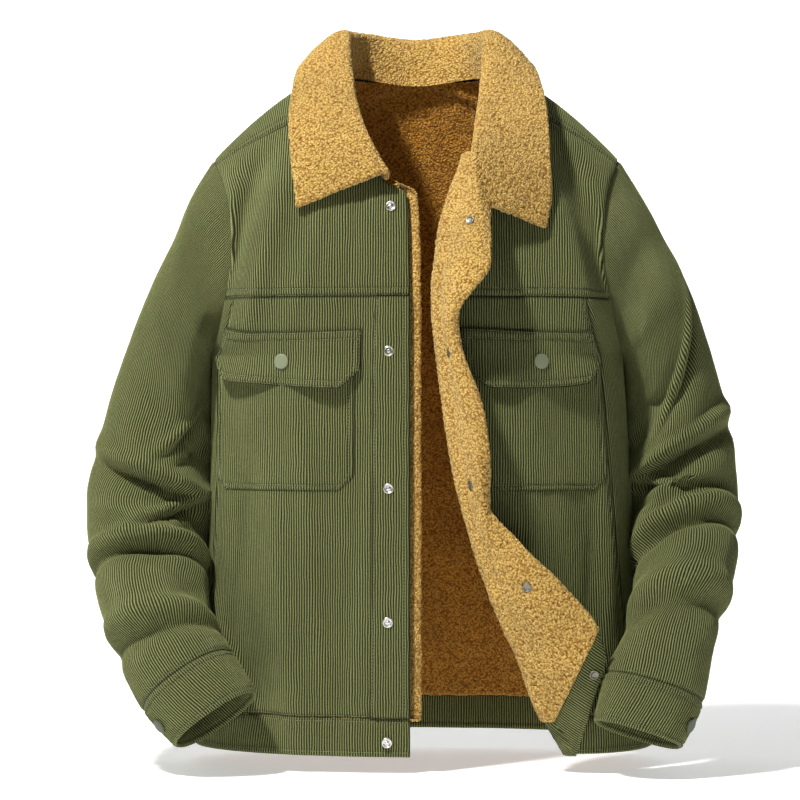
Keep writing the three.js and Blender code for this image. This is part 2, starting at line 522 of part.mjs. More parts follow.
for (const { side, v, angle } of cuffCaps) {
  disc(`${side}_cuff_cap`, { p: sleeve(side, v, angle), n: sleeveNormal(side, v, angle) }, corduroy + 0.9, cap);
}

export default group;
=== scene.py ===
import math

import bmesh
import bpy
import numpy as np
from mathutils import Matrix, Vector


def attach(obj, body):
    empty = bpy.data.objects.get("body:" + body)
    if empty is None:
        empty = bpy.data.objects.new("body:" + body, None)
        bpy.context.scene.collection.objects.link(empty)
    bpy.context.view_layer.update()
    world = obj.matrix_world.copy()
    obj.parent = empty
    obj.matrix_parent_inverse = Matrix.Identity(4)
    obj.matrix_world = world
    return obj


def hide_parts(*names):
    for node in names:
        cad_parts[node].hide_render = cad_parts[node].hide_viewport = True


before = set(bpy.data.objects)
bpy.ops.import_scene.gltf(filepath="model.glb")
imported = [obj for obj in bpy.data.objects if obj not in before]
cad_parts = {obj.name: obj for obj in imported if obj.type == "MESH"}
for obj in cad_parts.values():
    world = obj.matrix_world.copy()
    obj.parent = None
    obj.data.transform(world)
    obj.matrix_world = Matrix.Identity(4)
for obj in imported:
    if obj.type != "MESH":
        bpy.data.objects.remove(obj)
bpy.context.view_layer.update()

# Studio: a camera straight in front of the jacket, a pale floor that curves up behind it, one key
# light from the upper left and a weak fill. None of it is part of the jacket.
camera = bpy.data.objects.new("camera", bpy.data.cameras.new("camera"))
camera.data.sensor_width = 36
camera.data.lens = 139.8
camera.location = (-0.0175, -3.325, -0.309)
camera.rotation_euler = (math.pi / 2, 0, 0)
camera.data.clip_end = 60
bpy.context.scene.collection.objects.link(camera)
bpy.context.scene.camera = camera


def area_light(name, place, target, size, power, colour=(1, 1, 1)):
    """A square lamp that faces a point."""
    lamp = bpy.data.objects.new(name, bpy.data.lights.new(name, "AREA"))
    lamp.data.size = size
    lamp.data.energy = power
    lamp.data.color = colour
    lamp.location = place
    lamp.rotation_euler = (Vector(target) - Vector(place)).to_track_quat("-Z", "Y").to_euler()
    bpy.context.scene.collection.objects.link(lamp)


area_light("key", (-1.08, -1.2, 1.92), (0, 0, -0.35), 0.22, 92, (1, 0.985, 0.96))
area_light("fill", (1.6, -3.6, 0.2), (0, 0, -0.3), 2.5, 2.4, (0.97, 0.98, 1))
area_light("top", (-0.3, 0.7, 2.2), (0, 0, -0.2), 1.2, 9)
area_light("wall", (0, 2.6, 2.6), (0, 5.6, 0.4), 2.0, 110)

world = bpy.data.worlds.new("studio")
bpy.context.scene.world = world
world.use_nodes = True
world.node_tree.nodes["Background"].inputs["Color"].default_value = (0.95, 0.97, 1, 1)
world.node_tree.nodes["Background"].inputs["Strength"].default_value = 0.04
bpy.context.scene.view_settings.view_transform = "Standard"

floor_mesh = bmesh.new()
bmesh.ops.create_grid(floor_mesh, x_segments=2, y_segments=60, size=1)
for corner in floor_mesh.verts:
    run = 3 + corner.co.y * 6.75         # metres along the floor, then up the wall
    bend = min(max((run - 3) / 1.6, 0), 1) * math.pi / 2
    corner.co = (corner.co.x * 5, 1.6 + min(run, 3) + 1.02 * math.sin(bend),
                 -0.6935 + 1.02 * (1 - math.cos(bend)) + max(run - 4.6, 0))
backdrop = bpy.data.objects.new("backdrop", bpy.data.meshes.new("backdrop"))
floor_mesh.to_mesh(backdrop.data)
floor_mesh.free()
backdrop.data.shade_smooth()
bpy.context.scene.collection.objects.link(backdrop)
pale = bpy.data.materials.new("pale backdrop")
pale.use_nodes = True
pale.node_tree.nodes["Principled BSDF"].inputs["Base Color"].default_value = (0.93, 0.93, 0.93, 1)
pale.node_tree.nodes["Principled BSDF"].inputs["Roughness"].default_value = 0.9
pale.node_tree.nodes["Principled BSDF"].inputs["Emission Color"].default_value = (1, 1, 1, 1)
pale.node_tree.nodes["Principled BSDF"].inputs["Emission Strength"].default_value = 0.45
backdrop.data.materials.append(pale)

# Fronts: two panels of fine corduroy, about ten wales to the inch, cut along the wales from the hem
# band to the yoke.
# The left one turns back on itself at a soft fold, so that its pile side shows.
# Every cloth of the body is drawn on one sewing surface, in millimetres: t runs up the front from
# the hem (0) to the shoulder (1) and down the back (2), s from the inner line (0) to the side (1).
CORDUROY = 2.0
LAYER_GAP = 0.9
PILE = 5.0
WALE = 2.65              # pitch of the ribs
WALE_HEIGHT = 0.9
SEAM_REACH = 1.7         # how far a seam and a row of stitches draw the cloth down beside them
STITCH_REACH = 1.05
STITCH_SINK = 0.85
PUCKER = 0.40
SECTION = 2.35
FOLD_RADIUS = 9.0
BAND_TOP, UNDERARM, YOKE_SEAM, SHOULDER_SEAM, BACK_YOKE_SEAM = 0.06, 0.5, 0.6, 0.94, 1.35
PANEL_EDGE = {"right": 0.80, "left": 0.62}
BACK_PANEL_EDGE = {"right": 0.80, "left": 0.81}


def table(names, *rows):
    """Columns of a short table, by name."""
    return {name: np.array([row[i] for row in rows], float) for i, name in enumerate(names.split())}


def joined(first, second):
    return {name: np.concatenate([first[name], second[name]]) for name in first}


def smooth_line(x, y):
    """A line through one column of a table. It never swings past the values it joins."""
    rise = np.diff(y) / np.diff(x)
    slope = np.empty_like(y)
    slope[0], slope[-1] = rise[0], rise[-1]
    before, after = np.diff(x)[:-1], np.diff(x)[1:]
    agree = rise[:-1] * rise[1:] > 0
    low, high = np.where(agree, rise[:-1], 1), np.where(agree, rise[1:], 1)
    slope[1:-1] = np.where(agree, 3 * (before + after) / ((2 * after + before) / low
                                                         + (after + 2 * before) / high), 0)

    def at(place):
        v = np.clip(place, x[0], x[-1])
        i = np.clip(np.searchsorted(x, v, side="right") - 1, 0, len(x) - 2)
        h = x[i + 1] - x[i]
        u = (v - x[i]) / h
        return (y[i] * (1 + 2 * u) * (1 - u) ** 2 + slope[i] * h * u * (1 - u) ** 2
                + y[i + 1] * u * u * (3 - 2 * u) + slope[i + 1] * h * u * u * (u - 1))
    return at


def path(rows, at="t"):
    lines = [smooth_line(rows[at], rows[axis]) for axis in "xyz"]
    return lambda v: np.stack([one(v) for one in lines], axis=-1)


neck_and_back = table(
    "t x y z", [1.00, 79, 0, 42], [1.05, 73, 26, 43], [1.11, 48, 50, 41], [1.17, 0, 62, 38],
    [1.25, 0, 88, -30], [1.35, 0, 108, -150], [1.50, 0, 115, -262], [1.65, 0, 116, -380],
    [1.80, 0, 114, -510], [1.94, 0, 112, -632], [2.00, 0, 111, -671])
inner_line = {
    "right": path(joined(table(
        "t x y z", [0.00, -7, -128, -677], [0.06, -7, -129, -637], [0.20, -7, -131, -510],
        [0.35, -7, -130, -380], [0.50, -7, -127, -262], [0.60, -7, -123, -202], [0.70, -8, -113, -140],
        [0.77, -11, -104, -95], [0.82, -32, -98, -83], [0.88, -58, -73, -42], [0.94, -72, -42, 0]),
        dict(neck_and_back, x=-neck_and_back["x"]))),
    "left": path(joined(table(
        "t x y z", [0.00, 164, -106, -676], [0.06, 141, -116, -636], [0.13, 116, -124, -572],
        [0.20, 89, -128, -510], [0.35, 51, -130, -380], [0.50, 34, -127, -262], [0.60, 29, -123, -202],
        [0.70, 36, -112, -140], [0.77, 48, -100, -94], [0.82, 62, -86, -56], [0.88, 69, -64, -22],
        [0.94, 74, -38, 10]), neck_and_back)),
}
side_line = {
    "right": path(table("t x y z", [0.00, -236, 0, -674], [0.06, -234, 0, -634], [0.20, -224, 0, -510],
                        [0.35, -218, 0, -380], [0.50, -216, 0, -262])),
    "left": path(table("t x y z", [0.00, 252, 0, -674], [0.06, 248, 0, -634], [0.20, 234, 0, -510],
                       [0.35, 226, 0, -380], [0.50, 218, 0, -262])),
}
armhole_rows = table(
    "t x y z", [0.50, 216, 0, -262], [0.55, 209, -38, -244], [0.60, 199, -62, -203],
    [0.70, 192, -72, -150], [0.80, 196, -58, -100], [0.88, 204, -38, -74], [0.94, 211, -20, -60],
    [1.00, 215, 0, -54], [1.06, 211, 20, -60], [1.12, 204, 38, -74], [1.20, 195, 58, -102],
    [1.30, 190, 72, -146], [1.35, 190, 73, -172], [1.42, 198, 58, -218], [1.47, 209, 30, -250],
    [1.50, 216, 0, -262])
armhole_line = {
    "right": path(dict(armhole_rows, x=-armhole_rows["x"])),
    "left": path(dict(armhole_rows, x=armhole_rows["x"] + 4 * abs(armhole_rows["t"] - 1))),
}
free_edge = path(table(
    "t x y z", [0.00, 193, -160, -570], [0.06, 182, -168, -541], [0.13, 146, -170, -498],
    [0.20, 103, -164, -456], [0.275, 68, -160, -411], [0.35, 70, -172, -362], [0.425, 64, -174, -317],
    [0.50, 44, -164, -268], [0.55, 38, -160, -240], [0.60, 41, -165, -217], [0.65, 55, -170, -196],
    [0.70, 73, -166, -168], [0.77, 71, -147, -132], [0.82, 70, -124, -100]))

# Drape: soft troughs and ridges along lines in the front view, the wide ones first.
body_folds = {
    "right": table(
        "x1 z1 x2 z2 width depth", [-142, 8, -196, -190, 20, -15], [-122, -10, -176, -205, 16, 9],
        [-60, -230, -95, -640, 26, -4], [-150, -430, -128, -640, 24, 6], [-190, -330, -168, -600, 18, -6],
        [-205, -500, -150, -640, 15, -7]),
    "left": table(
        "x1 z1 x2 z2 width depth", [136, 10, 190, -180, 20, -15], [118, -20, 172, -190, 16, 8],
        [110, -440, 150, -640, 20, 6], [150, -330, 172, -560, 22, -6], [205, -300, 200, -600, 16, 5]),
    "back": table(
        "x1 z1 x2 z2 width depth", [-70, -180, -96, -620, 24, 5], [60, -200, 84, -600, 24, 5],
        [-150, -160, -170, -420, 22, -7], [150, -160, 168, -430, 22, -7], [-10, -330, 14, -640, 26, -5]),
}
body_creases = {
    "right": table(
        "x1 z1 x2 z2 width depth", [-175, -420, -196, -600, 7, -2.0], [-160, -560, -120, -650, 8, -1.8],
        [-60, -410, -75, -600, 9, -1.4], [-196, -560, -150, -640, 7, 1.6],
        [-100, -120, -120, -190, 10, 1.6],
        [-60, -100, -70, -185, 9, -1.3], [-200, -300, -190, -420, 7, 1.5], [-128, -10, -190, -195, 9, 5],
        [-152, -5, -205, -195, 11, -4], [-120, -350, -100, -600, 12, 3], [-170, -400, -150, -620, 12, -4]),
    "left": table(
        "x1 z1 x2 z2 width depth", [186, -400, 172, -560, 7, -2.0], [205, -450, 190, -620, 7, 1.8],
        [96, -90, 110, -170, 10, 1.5], [140, -430, 160, -520, 9, -1.4], [200, -290, 214, -400, 7, -1.6],
        [120, 0, 178, -190, 9, 5],
        [146, 0, 200, -190, 11, -3], [176, -420, 200, -600, 11, -4], [150, -420, 176, -600, 11, 3]),
    "back": table(
        "x1 z1 x2 z2 width depth", [-120, -330, -96, -560, 9, -2.2], [110, -320, 90, -560, 9, -2.0],
        [-30, -420, -40, -640, 10, 2.0], [40, -470, 52, -640, 9, -1.8], [-176, -240, -150, -420, 8, 2.2],
        [176, -240, 150, -430, 8, 2.2], [-90, -60, -110, -150, 12, 2.0], [90, -60, 112, -150, 12, 2.0]),
}


def fold_depth(folds, x, z):
    depth = np.zeros_like(x)
    for x1, z1, x2, z2, width, deep in zip(*folds.values()):
        dx, dz = x2 - x1, z2 - z1
        run = math.hypot(dx, dz)
        along = ((x - x1) * dx + (z - z1) * dz) / run
        off = ((x - x1) * dz - (z - z1) * dx) / run
        past = np.maximum(0, np.maximum(-along, along - run))
        depth += deep * np.exp(-(off / width) ** 2 - (past / 45) ** 2)
    return depth


def ease(v):
    u = np.clip(v, 0, 1)
    return u * u * (3 - 2 * u)


def body(side, t, s, creases=True):
    """A point of the body's sewing surface."""
    t, s = np.broadcast_arrays(np.asarray(t, float), np.asarray(s, float))
    a = inner_line[side](t)
    low = side_line[side](np.where(t > 1, 2 - t, t))
    b = np.where(((t < UNDERARM) | (t > 2 - UNDERARM))[..., None], low, armhole_line[side](t))
    inside = np.clip(s, 0, 1)
    wide = np.sin(np.pi * inside / 2) ** (2 / SECTION)
    deep = np.clip(np.cos(np.pi * inside / 2), 0, 1) ** (2 / SECTION)
    p = np.stack([a[..., 0] + (b[..., 0] - a[..., 0]) * wide, b[..., 1] + (a[..., 1] - b[..., 1]) * deep,
                  a[..., 2] + (b[..., 2] - a[..., 2]) * wide ** 1.5], axis=-1)
    fade = ease((1 - inside) / 0.25) * ease(inside / 0.12) * ease((abs(t - 1) - 0.06) / 0.12)
    front, back = (fold_depth(body_folds[key], p[..., 0], p[..., 2]) for key in (side, "back"))
    if creases:
        front = front + fold_depth(body_creases[side], p[..., 0], p[..., 2])
        back = back + fold_depth(body_creases["back"], p[..., 0], p[..., 2])
    p[..., 1] += fade * np.where(t < 1, -front, back)
    past = ((s < 0) & (t < 1))[..., None]
    none = np.zeros_like(t)
    if side == "right":
        return np.where(past, a + np.stack([-s * 100, none, none], axis=-1), p)
    turn = np.clip(-s / 0.3, 0, 1) * np.pi
    bend = a + np.stack([-FOLD_RADIUS * np.sin(turn), -FOLD_RADIUS * (1 - np.cos(turn)), none], axis=-1)
    u = np.clip((-s - 0.3) / 0.7, 0, 1)
    ruled = bend + (free_edge(t) - bend) * u[..., None]
    ruled[..., 1] -= 9 * np.sin(np.pi * u)
    return np.where(past, ruled, p)


def unit(v):
    return v / np.maximum(np.linalg.norm(v, axis=-1, keepdims=True), 1e-9)


HANDED = {"right": 1, "left": -1}


def body_normal(side, t, s):
    """Outward direction of the body's sewing surface."""
    step = 1e-3
    t, s = np.broadcast_arrays(np.asarray(t, float), np.asarray(s, float))
    t = np.clip(t, step, 2 - step)
    s = np.where(s < 0, np.clip(s, -1 + step, -2e-3), np.clip(s, 0.004, 0.996))
    du = body(side, t + step, s) - body(side, t - step, s)
    dv = body(side, t, s + step) - body(side, t, s - step)
    return unit(np.cross(du, dv)) * HANDED[side]


def scatter(x, y, seed):
    """A repeatable number from 0 to 1 for each whole x and y."""
    mask = np.uint64(0xFFFFFFFF)
    h = (np.asarray(x, np.int64).astype(np.uint64) * np.uint64(374761393)
         + np.asarray(y, np.int64).astype(np.uint64) * np.uint64(668265263)
         + np.uint64(seed * 2246822519 % 4294967291)) & mask
    h = ((h ^ (h >> np.uint64(13))) * np.uint64(1274126177)) & mask
    return ((h ^ (h >> np.uint64(16))) & mask).astype(float) / 4294967295


def ripple(x, y, seed):
    """Smooth unevenness from -1 to 1 over a plane, one hump a unit."""
    i, j = np.floor(x), np.floor(y)
    u, v = ease(x - i), ease(y - j)
    low = scatter(i, j, seed) * (1 - u) + scatter(i + 1, j, seed) * u
    high = scatter(i, j + 1, seed) * (1 - u) + scatter(i + 1, j + 1, seed) * u
    return 2 * (low * (1 - v) + high * v) - 1


def gather(distance, reach=9.0):
    """Pucker beside a stitched seam."""
    return np.exp(-(distance / reach) ** 2)


def wobble(w, d):
    """How far a wale strays sideways from its straight line, in millimetres."""
    return 0.5 * ripple(w / 9, d / 15, 21) + 0.2 * ripple(w / 3.5, d / 6, 22)


def cloth_face(w, d, seams, rows=(), ribs=True):
    """Height of the corduroy over its sewing surface: wales w across and d along, sunk at its seams
    and drawn down by each row of stitches. seams and rows hold distances in millimetres."""
    close = np.ones_like(w)
    pull = np.zeros_like(w)
    w = w + wobble(w, d)
    for distance in seams:
        close = close * (1 - np.exp(-(np.maximum(distance, 0) / SEAM_REACH) ** 2))
        pull = pull + gather(distance) * ripple(w / 5.5, d / 5.5, 7)
    stitched = np.zeros_like(w)
    for distance in rows:
        stitched = np.maximum(stitched, np.exp(-(distance / STITCH_REACH) ** 2))
    uneven = 0.82 + 0.18 * ripple(np.round(w / WALE) * 0.93, d / 2.6, 3)
    rib = WALE_HEIGHT * np.abs(np.sin(np.pi * w / WALE)) ** 0.8 * uneven if ribs else 0
    return (0.35 + (CORDUROY - 0.35 - WALE_HEIGHT * 0.55) * close + rib * close * (1 - 0.7 * stitched)
            + PUCKER * pull * close - STITCH_SINK * stitched)


def seam_shade(seams, rows=()):
    """How deep a point sits in a seam or under a row of stitches, from 0 to 1: the painted shade that
    darkens the corduroy's colour there.
    """
    deep = np.zeros_like(seams[0])
    for distance in seams:
        deep = np.maximum(deep, np.exp(-(np.maximum(distance, 0) / 1.5) ** 2))
    for distance in rows:
        deep = np.maximum(deep, 0.55 * np.exp(-(distance / 1.0) ** 2))
    return deep


def make_piece(name, parts, material):
    """Grids of cloth moved to their points and welded where they meet. The map holds the cloth's
    own width and length in metres."""
    whole = bmesh.new()
    for part in parts:
        points = part["points"]
        rows, columns = points.shape[:2]
        shape = bmesh.new()
        bmesh.ops.create_grid(shape, x_segments=columns - 1, y_segments=rows - 1, size=1)
        mesh = bpy.data.meshes.new(name + "_part")
        shape.to_mesh(mesh)
        shape.free()
        mesh.vertices.foreach_set("co", (points.reshape(-1, 3) * 0.001).ravel())
        corner = np.empty(len(mesh.loops), np.int32)
        mesh.loops.foreach_get("vertex_index", corner)
        across = part["across"] + wobble(part["across"], part["along"])
        flat = np.stack([across.ravel(), part["along"].ravel()], axis=-1) * 0.001
        mesh.uv_layers.new(name="cloth").data.foreach_set("uv", flat[corner].ravel())
        # tuft and seam are kept for the materials, which paint shade with them: into the pile's hollows and
        # along the corduroy's seams and stitch rows
        for mark in ("tuft", "seam"):
            if mark in part:
                mesh.attributes.new(mark, "FLOAT", "POINT").data.foreach_set("value", part[mark].ravel())
        # a grid laid down mirrored is turned over
        i, j = part.get("row", rows // 2), part.get("column", columns // 2)
        facing = np.cross(points[i, j + 1] - points[i, j - 1], points[i + 1, j] - points[i - 1, j])
        if np.dot(facing, part["outward"]) < 0:
            mesh.flip_normals()
        whole.from_mesh(mesh)
        bpy.data.meshes.remove(mesh)
    bmesh.ops.remove_doubles(whole, verts=whole.verts, dist=1e-5)
    bmesh.ops.dissolve_degenerate(whole, edges=whole.edges, dist=1e-6)
    loose = [vert for vert in whole.verts if not vert.link_faces]
    bmesh.ops.delete(whole, geom=loose, context="VERTS")
    mesh = bpy.data.meshes.new(name)
    whole.to_mesh(mesh)
    whole.free()
    mesh.shade_smooth()
    mesh.materials.append(material)
    piece = bpy.data.objects.new(name, mesh)
    bpy.context.scene.collection.objects.link(piece)
    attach(piece, "root")
    return piece


def node_maker(material):
    """Short hands for building a material: add a node, and join two sockets."""
    tree = material.node_tree

    def add(kind, **inputs):
        node = tree.nodes.new(kind)
        for key, value in inputs.items():
            if hasattr(node, key) and key not in node.inputs:
                setattr(node, key, value)
            else:
                node.inputs[key.replace("_", " ")].default_value = value
        return node

    def link(out, into):
        tree.links.new(out, into)
    return add, link, tree.nodes["Principled BSDF"]


def spread(add, low, high, to_low=0.0, to_high=1.0):
    """A node that maps low..high to to_low..to_high."""
    node = add("ShaderNodeMapRange")
    for key, value in (("From Min", low), ("From Max", high), ("To Min", to_low), ("To Max", to_high)):
        node.inputs[key].default_value = value
    return node


def corduroy_material(name, top, groove_with_shade, wale=WALE):
    """Cut corduroy: brushed ribs over a bare ground, flecked along the nap; the grooves' colour is partly
    the ground's own darker tone and partly painted shade, and the seams and stitch rows get painted shade.
    """
    material = bpy.data.materials.new(name)
    material.use_nodes = True
    add, link, shader = node_maker(material)
    cloth = add("ShaderNodeUVMap", uv_map="cloth")
    parts = add("ShaderNodeSeparateXYZ")
    link(cloth.outputs["UV"], parts.inputs[0])
    phase = add("ShaderNodeMath", operation="MULTIPLY")
    phase.inputs[1].default_value = 2 * math.pi / (wale * 0.001)
    link(parts.outputs["X"], phase.inputs[0])
    wave = add("ShaderNodeMath", operation="COSINE")
    link(phase.outputs[0], wave.inputs[0])
    rib = spread(add, 0.62, -0.8)
    link(wave.outputs[0], rib.inputs["Value"])
    stretch = add("ShaderNodeMapping")
    stretch.inputs["Scale"].default_value = (1250, 480, 1)
    link(cloth.outputs["UV"], stretch.inputs["Vector"])
    fleck = add("ShaderNodeTexNoise", Scale=1.0, Detail=3.0, Roughness=0.7)
    link(stretch.outputs[0], fleck.inputs["Vector"])
    patch = add("ShaderNodeTexNoise", Scale=11.0, Detail=4.0, Roughness=0.6)
    link(cloth.outputs["UV"], patch.inputs["Vector"])
    # the groove colour is partly the bare ground's own darker tone and partly painted shade deep in the
    # grooves
    colour = add("ShaderNodeMix", data_type="RGBA")
    colour.inputs[6].default_value = groove_with_shade
    colour.inputs[7].default_value = top
    link(rib.outputs[0], colour.inputs[0])
    flecks = spread(add, 0.3, 0.7, 0.62, 1.38)
    link(fleck.outputs["Fac"], flecks.inputs["Value"])
    worn = spread(add, 0.3, 0.7, 0.92, 1.08)
    link(patch.outputs["Fac"], worn.inputs["Value"])
    both = add("ShaderNodeMath", operation="MULTIPLY")
    link(flecks.outputs[0], both.inputs[0])
    link(worn.outputs[0], both.inputs[1])
    # painted shade: the seam attribute darkens the colour along the seams and under the rows of stitches
    seam = add("ShaderNodeAttribute", attribute_name="seam")
    seam_shade_factor = add("ShaderNodeMath", operation="MULTIPLY_ADD")
    seam_shade_factor.inputs[1].default_value, seam_shade_factor.inputs[2].default_value = -0.75, 1.0
    link(seam.outputs["Fac"], seam_shade_factor.inputs[0])
    flecks_and_seam_shade = add("ShaderNodeMath", operation="MULTIPLY")
    link(both.outputs[0], flecks_and_seam_shade.inputs[0])
    link(seam_shade_factor.outputs[0], flecks_and_seam_shade.inputs[1])
    shade = add("ShaderNodeVectorMath", operation="SCALE")
    link(colour.outputs[2], shade.inputs[0])
    link(flecks_and_seam_shade.outputs[0], shade.inputs["Scale"])
    link(shade.outputs[0], shader.inputs["Base Color"])
    height = add("ShaderNodeMath", operation="MULTIPLY_ADD")
    height.inputs[1].default_value = 0.35
    link(fleck.outputs["Fac"], height.inputs[0])
    link(rib.outputs[0], height.inputs[2])
    bump = add("ShaderNodeBump", Strength=0.8, Distance=0.0006)
    link(height.outputs[0], bump.inputs["Height"])
    link(bump.outputs[0], shader.inputs["Normal"])
    shader.inputs["Roughness"].default_value = 0.9
    shader.inputs["Specular IOR Level"].default_value = 0.2
    shader.inputs["Sheen Weight"].default_value = 0.25
    shader.inputs["Sheen Roughness"].default_value = 0.4
    shader.inputs["Sheen Tint"].default_value = (0.72, 0.8, 0.4, 1)
    return material


# olive corduroy: its groove colour is partly the bare ground's own tone and partly painted shade
olive_corduroy = corduroy_material("olive corduroy", (0.245, 0.265, 0.100, 1), (0.016, 0.019, 0.006, 1))


def run_along(side, t0, t1, s):
    """Places and lengths (mm) along one line of the body."""
    t = np.linspace(t0, t1, 400)
    p = body(side, t, s, creases=False)
    return t, np.concatenate([[0], np.cumsum(np.linalg.norm(np.diff(p, axis=0), axis=1))])


def even_rows(side, t0, t1, s, step, fine=()):
    """Rows a step apart, with close ones at both seams and at each row of stitches."""
    t, run = run_along(side, t0, t1, s)
    length = run[-1]
    marks = list(np.linspace(0, length, max(int(length / step), 2)))
    for mark in fine:
        place = mark if mark >= 0 else length + mark
        marks += [place - 2, place - 1, place, place + 1, place + 2]
    marks += [0.9, 2.0, 3.4, length - 0.9, length - 2.0, length - 3.4]
    marks = sorted(mark for mark in marks if 0 <= mark <= length)
    kept = [marks[0]]
    for mark in marks[1:]:
        if mark - kept[-1] > 0.55:
            kept.append(mark)
    kept[-1] = length
    return np.interp(kept, run, t), np.array(kept)


def lay_wales(side, ts, low, high, first=0.0, spacing=WALE / 4, origin="inner", inset=None):
    """Columns that follow the wales. Gives s and the distance across the cloth for each row, and
    the distances of its two side edges."""
    samples = np.linspace(first, 1, 281)
    p = body(side, ts[:, None], samples[None, :], creases=False)
    run = np.concatenate([np.zeros((len(ts), 1)),
                          np.cumsum(np.linalg.norm(np.diff(p, axis=1), axis=2), axis=1)], axis=1)
    run -= np.array([np.interp(0 if origin == "inner" else 1, samples, row) for row in run])[:, None]
    if origin == "inner":
        run += abs(inner_line[side](ts)[:, :1])
    low, high = np.broadcast_to(low, ts.shape), np.broadcast_to(high, ts.shape)
    w_low = np.array([np.interp(edge, samples, row) for edge, row in zip(low, run)])[:, None]
    w_high = np.array([np.interp(edge, samples, row) for edge, row in zip(high, run)])[:, None]
    if inset is not None:
        w_low, w_high = w_low + inset[0][:, None], w_high - inset[1][:, None]
    columns = spacing * np.arange(math.floor(w_low.min() / spacing), math.ceil(w_high.max() / spacing) + 1)
    w = np.clip(columns[None, :], w_low, w_high)
    s = np.array([np.interp(row_w, row, samples) for row_w, row in zip(w, run)])
    return np.clip(s, low[:, None], high[:, None]), w, w_low, w_high


def cut_size(points):
    """Width, length and area, in metres, of the flat cut that a grid of points was made from."""
    p = points * 0.001
    over = np.linalg.norm(np.diff(p, axis=1), axis=2)
    up = np.linalg.norm(np.diff(p, axis=0), axis=2)
    a = np.cross(p[1:, :-1] - p[:-1, :-1], p[:-1, 1:] - p[:-1, :-1])
    b = np.cross(p[1:, 1:] - p[1:, :-1], p[1:, 1:] - p[:-1, 1:])
    area = 0.5 * (np.linalg.norm(a, axis=2).sum() + np.linalg.norm(b, axis=2).sum())
    width, length = over.sum(axis=1).max(), up.sum(axis=0).max()
    return float(width), float(length), float(min(area, width * length))


def turned_under(points, normals, depth, rims, w, d):
    """One more row or column at each of these edges, turned in behind the face."""
    for key, axis in (("b", 0), ("t", 0), ("l", 1), ("r", 1)):
        if key not in rims:
            continue
        take = (lambda grid: grid[:1] if key == "b" else grid[-1:]) if axis == 0 else (
            lambda grid: grid[:, :1] if key == "l" else grid[:, -1:])
        edge = take(points) - take(normals) * depth
        order = (lambda one, other: [other, one]) if key in "bl" else (lambda one, other: [one, other])
        points = np.concatenate(order(points, edge), axis=axis)
        normals = np.concatenate(order(normals, take(normals)), axis=axis)
        w = np.concatenate(order(w, take(w)), axis=axis)
        d = np.concatenate(order(d, take(d)), axis=axis)
    return points, w, d


stitch_rows = []


def keep_stitches(points, normals):
    """Remember one row of stitches, where the face is drawn down, for the thread made later."""
    stitch_rows.append((points, normals))


def front_part(side, t0, t1, low, high, step=5.5, hems=(), over=(), mid=0.4, seams="lrbt", rims="lrbt",
               first=0.0, spacing=WALE / 4, ribs=True, origin="inner", lift=0.0, inset=None, depth=1.6,
               rise=None):
    """One grid of corduroy on the body. hems are rows of stitches along it, measured from its bottom
    seam, or from its top seam if negative; over are rows beside its side seams in the same way."""
    ts, run = even_rows(side, t0, t1, mid, step, hems)
    s, w, w_low, w_high = lay_wales(side, ts, low, high, first, spacing, origin, inset and inset(run))
    t, d = np.broadcast_to(ts[:, None], s.shape), np.broadcast_to(run[:, None], s.shape)
    if rise:
        t = t + rise(s)
    edges = {"l": w - w_low, "r": w_high - w, "b": d, "t": run[-1] - d}
    rows = [d - (mark if mark >= 0 else run[-1] + mark) for mark in hems]
    rows += [w - w_low - mark if mark >= 0 else w_high - w + mark for mark in over]
    base, normal = body(side, t, s), body_normal(side, t, s)
    face = cloth_face(w, d, [edges[key] for key in seams], rows, ribs)
    face = face + (lift(w, d, edges) if callable(lift) else lift)
    points, normals = base + normal * face[..., None], normal
    for mark in hems:
        place = mark if mark >= 0 else run[-1] + mark
        line = int(np.argmin(abs(run - place)))
        keep_stitches(points[line], normals[line])
    for mark in over:
        want = (w_low + mark if mark >= 0 else w_high + mark)[:, 0]
        nearest = [int(np.argmin(abs(row - place))) for row, place in zip(w, want)]
        picked = np.arange(len(run))
        keep_stitches(points[picked, nearest], normals[picked, nearest])
    i, j = s.shape[0] // 2, s.shape[1] // 2
    # the second channel is the painted shade at the seams and under the stitches, kept as the seam
    # attribute
    marks = np.stack([w, seam_shade([edges[key] for key in seams], rows)], axis=-1)
    points, marks, d = turned_under(points, normals, depth, rims, marks, d)
    return {"points": points, "across": marks[..., 0], "seam": marks[..., 1], "along": d,
            "outward": normal[i, j], "flat": cut_size(base)}


def sew(name, node, parts, material):
    piece = make_piece(name, parts, material)
    if node:
        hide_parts(node)
    sizes = [part["flat"] for part in parts]
    width, length = sum(one[0] for one in sizes), max(one[1] for one in sizes)
    area = min(sum(one[2] for one in sizes), width * length)
    area = max(area, 0.31 * width * length)
    return piece


sew("right_front_cloth", "right_front",
    [front_part("right", BAND_TOP, YOKE_SEAM, 0, PANEL_EDGE["right"], hems=(2.4,), over=(11.5, -5))],
    olive_corduroy)
sew("left_front_cloth", "left_front",
    [front_part("left", BAND_TOP, YOKE_SEAM, 0, PANEL_EDGE["left"], hems=(2.4,), over=(-5,), seams="rbt",
                rims="rbt"),
     front_part("left", BAND_TOP, YOKE_SEAM, -1, 0, first=-1.0, spacing=WALE, ribs=False, seams="bt",
                rims="lbt", hems=(2.4,))],
    olive_corduroy)

# Side panels: one piece under each arm, from the front seam round to the back seam, with a row of
# stitches beside both seams.
for side in ("right", "left"):
    sew(f"{side}_side_cloth", f"{side}_side_panel",
        [front_part(side, BAND_TOP, YOKE_SEAM, PANEL_EDGE[side], 1, step=6.5, mid=0.9, seams="lbt",
                    rims="lbt", origin="side"),
         front_part(side, BACK_YOKE_SEAM, 2 - BAND_TOP, BACK_PANEL_EDGE[side], 1, step=6.5, mid=0.9,
                    seams="lbt", rims="lbt", origin="side")],
        olive_corduroy)

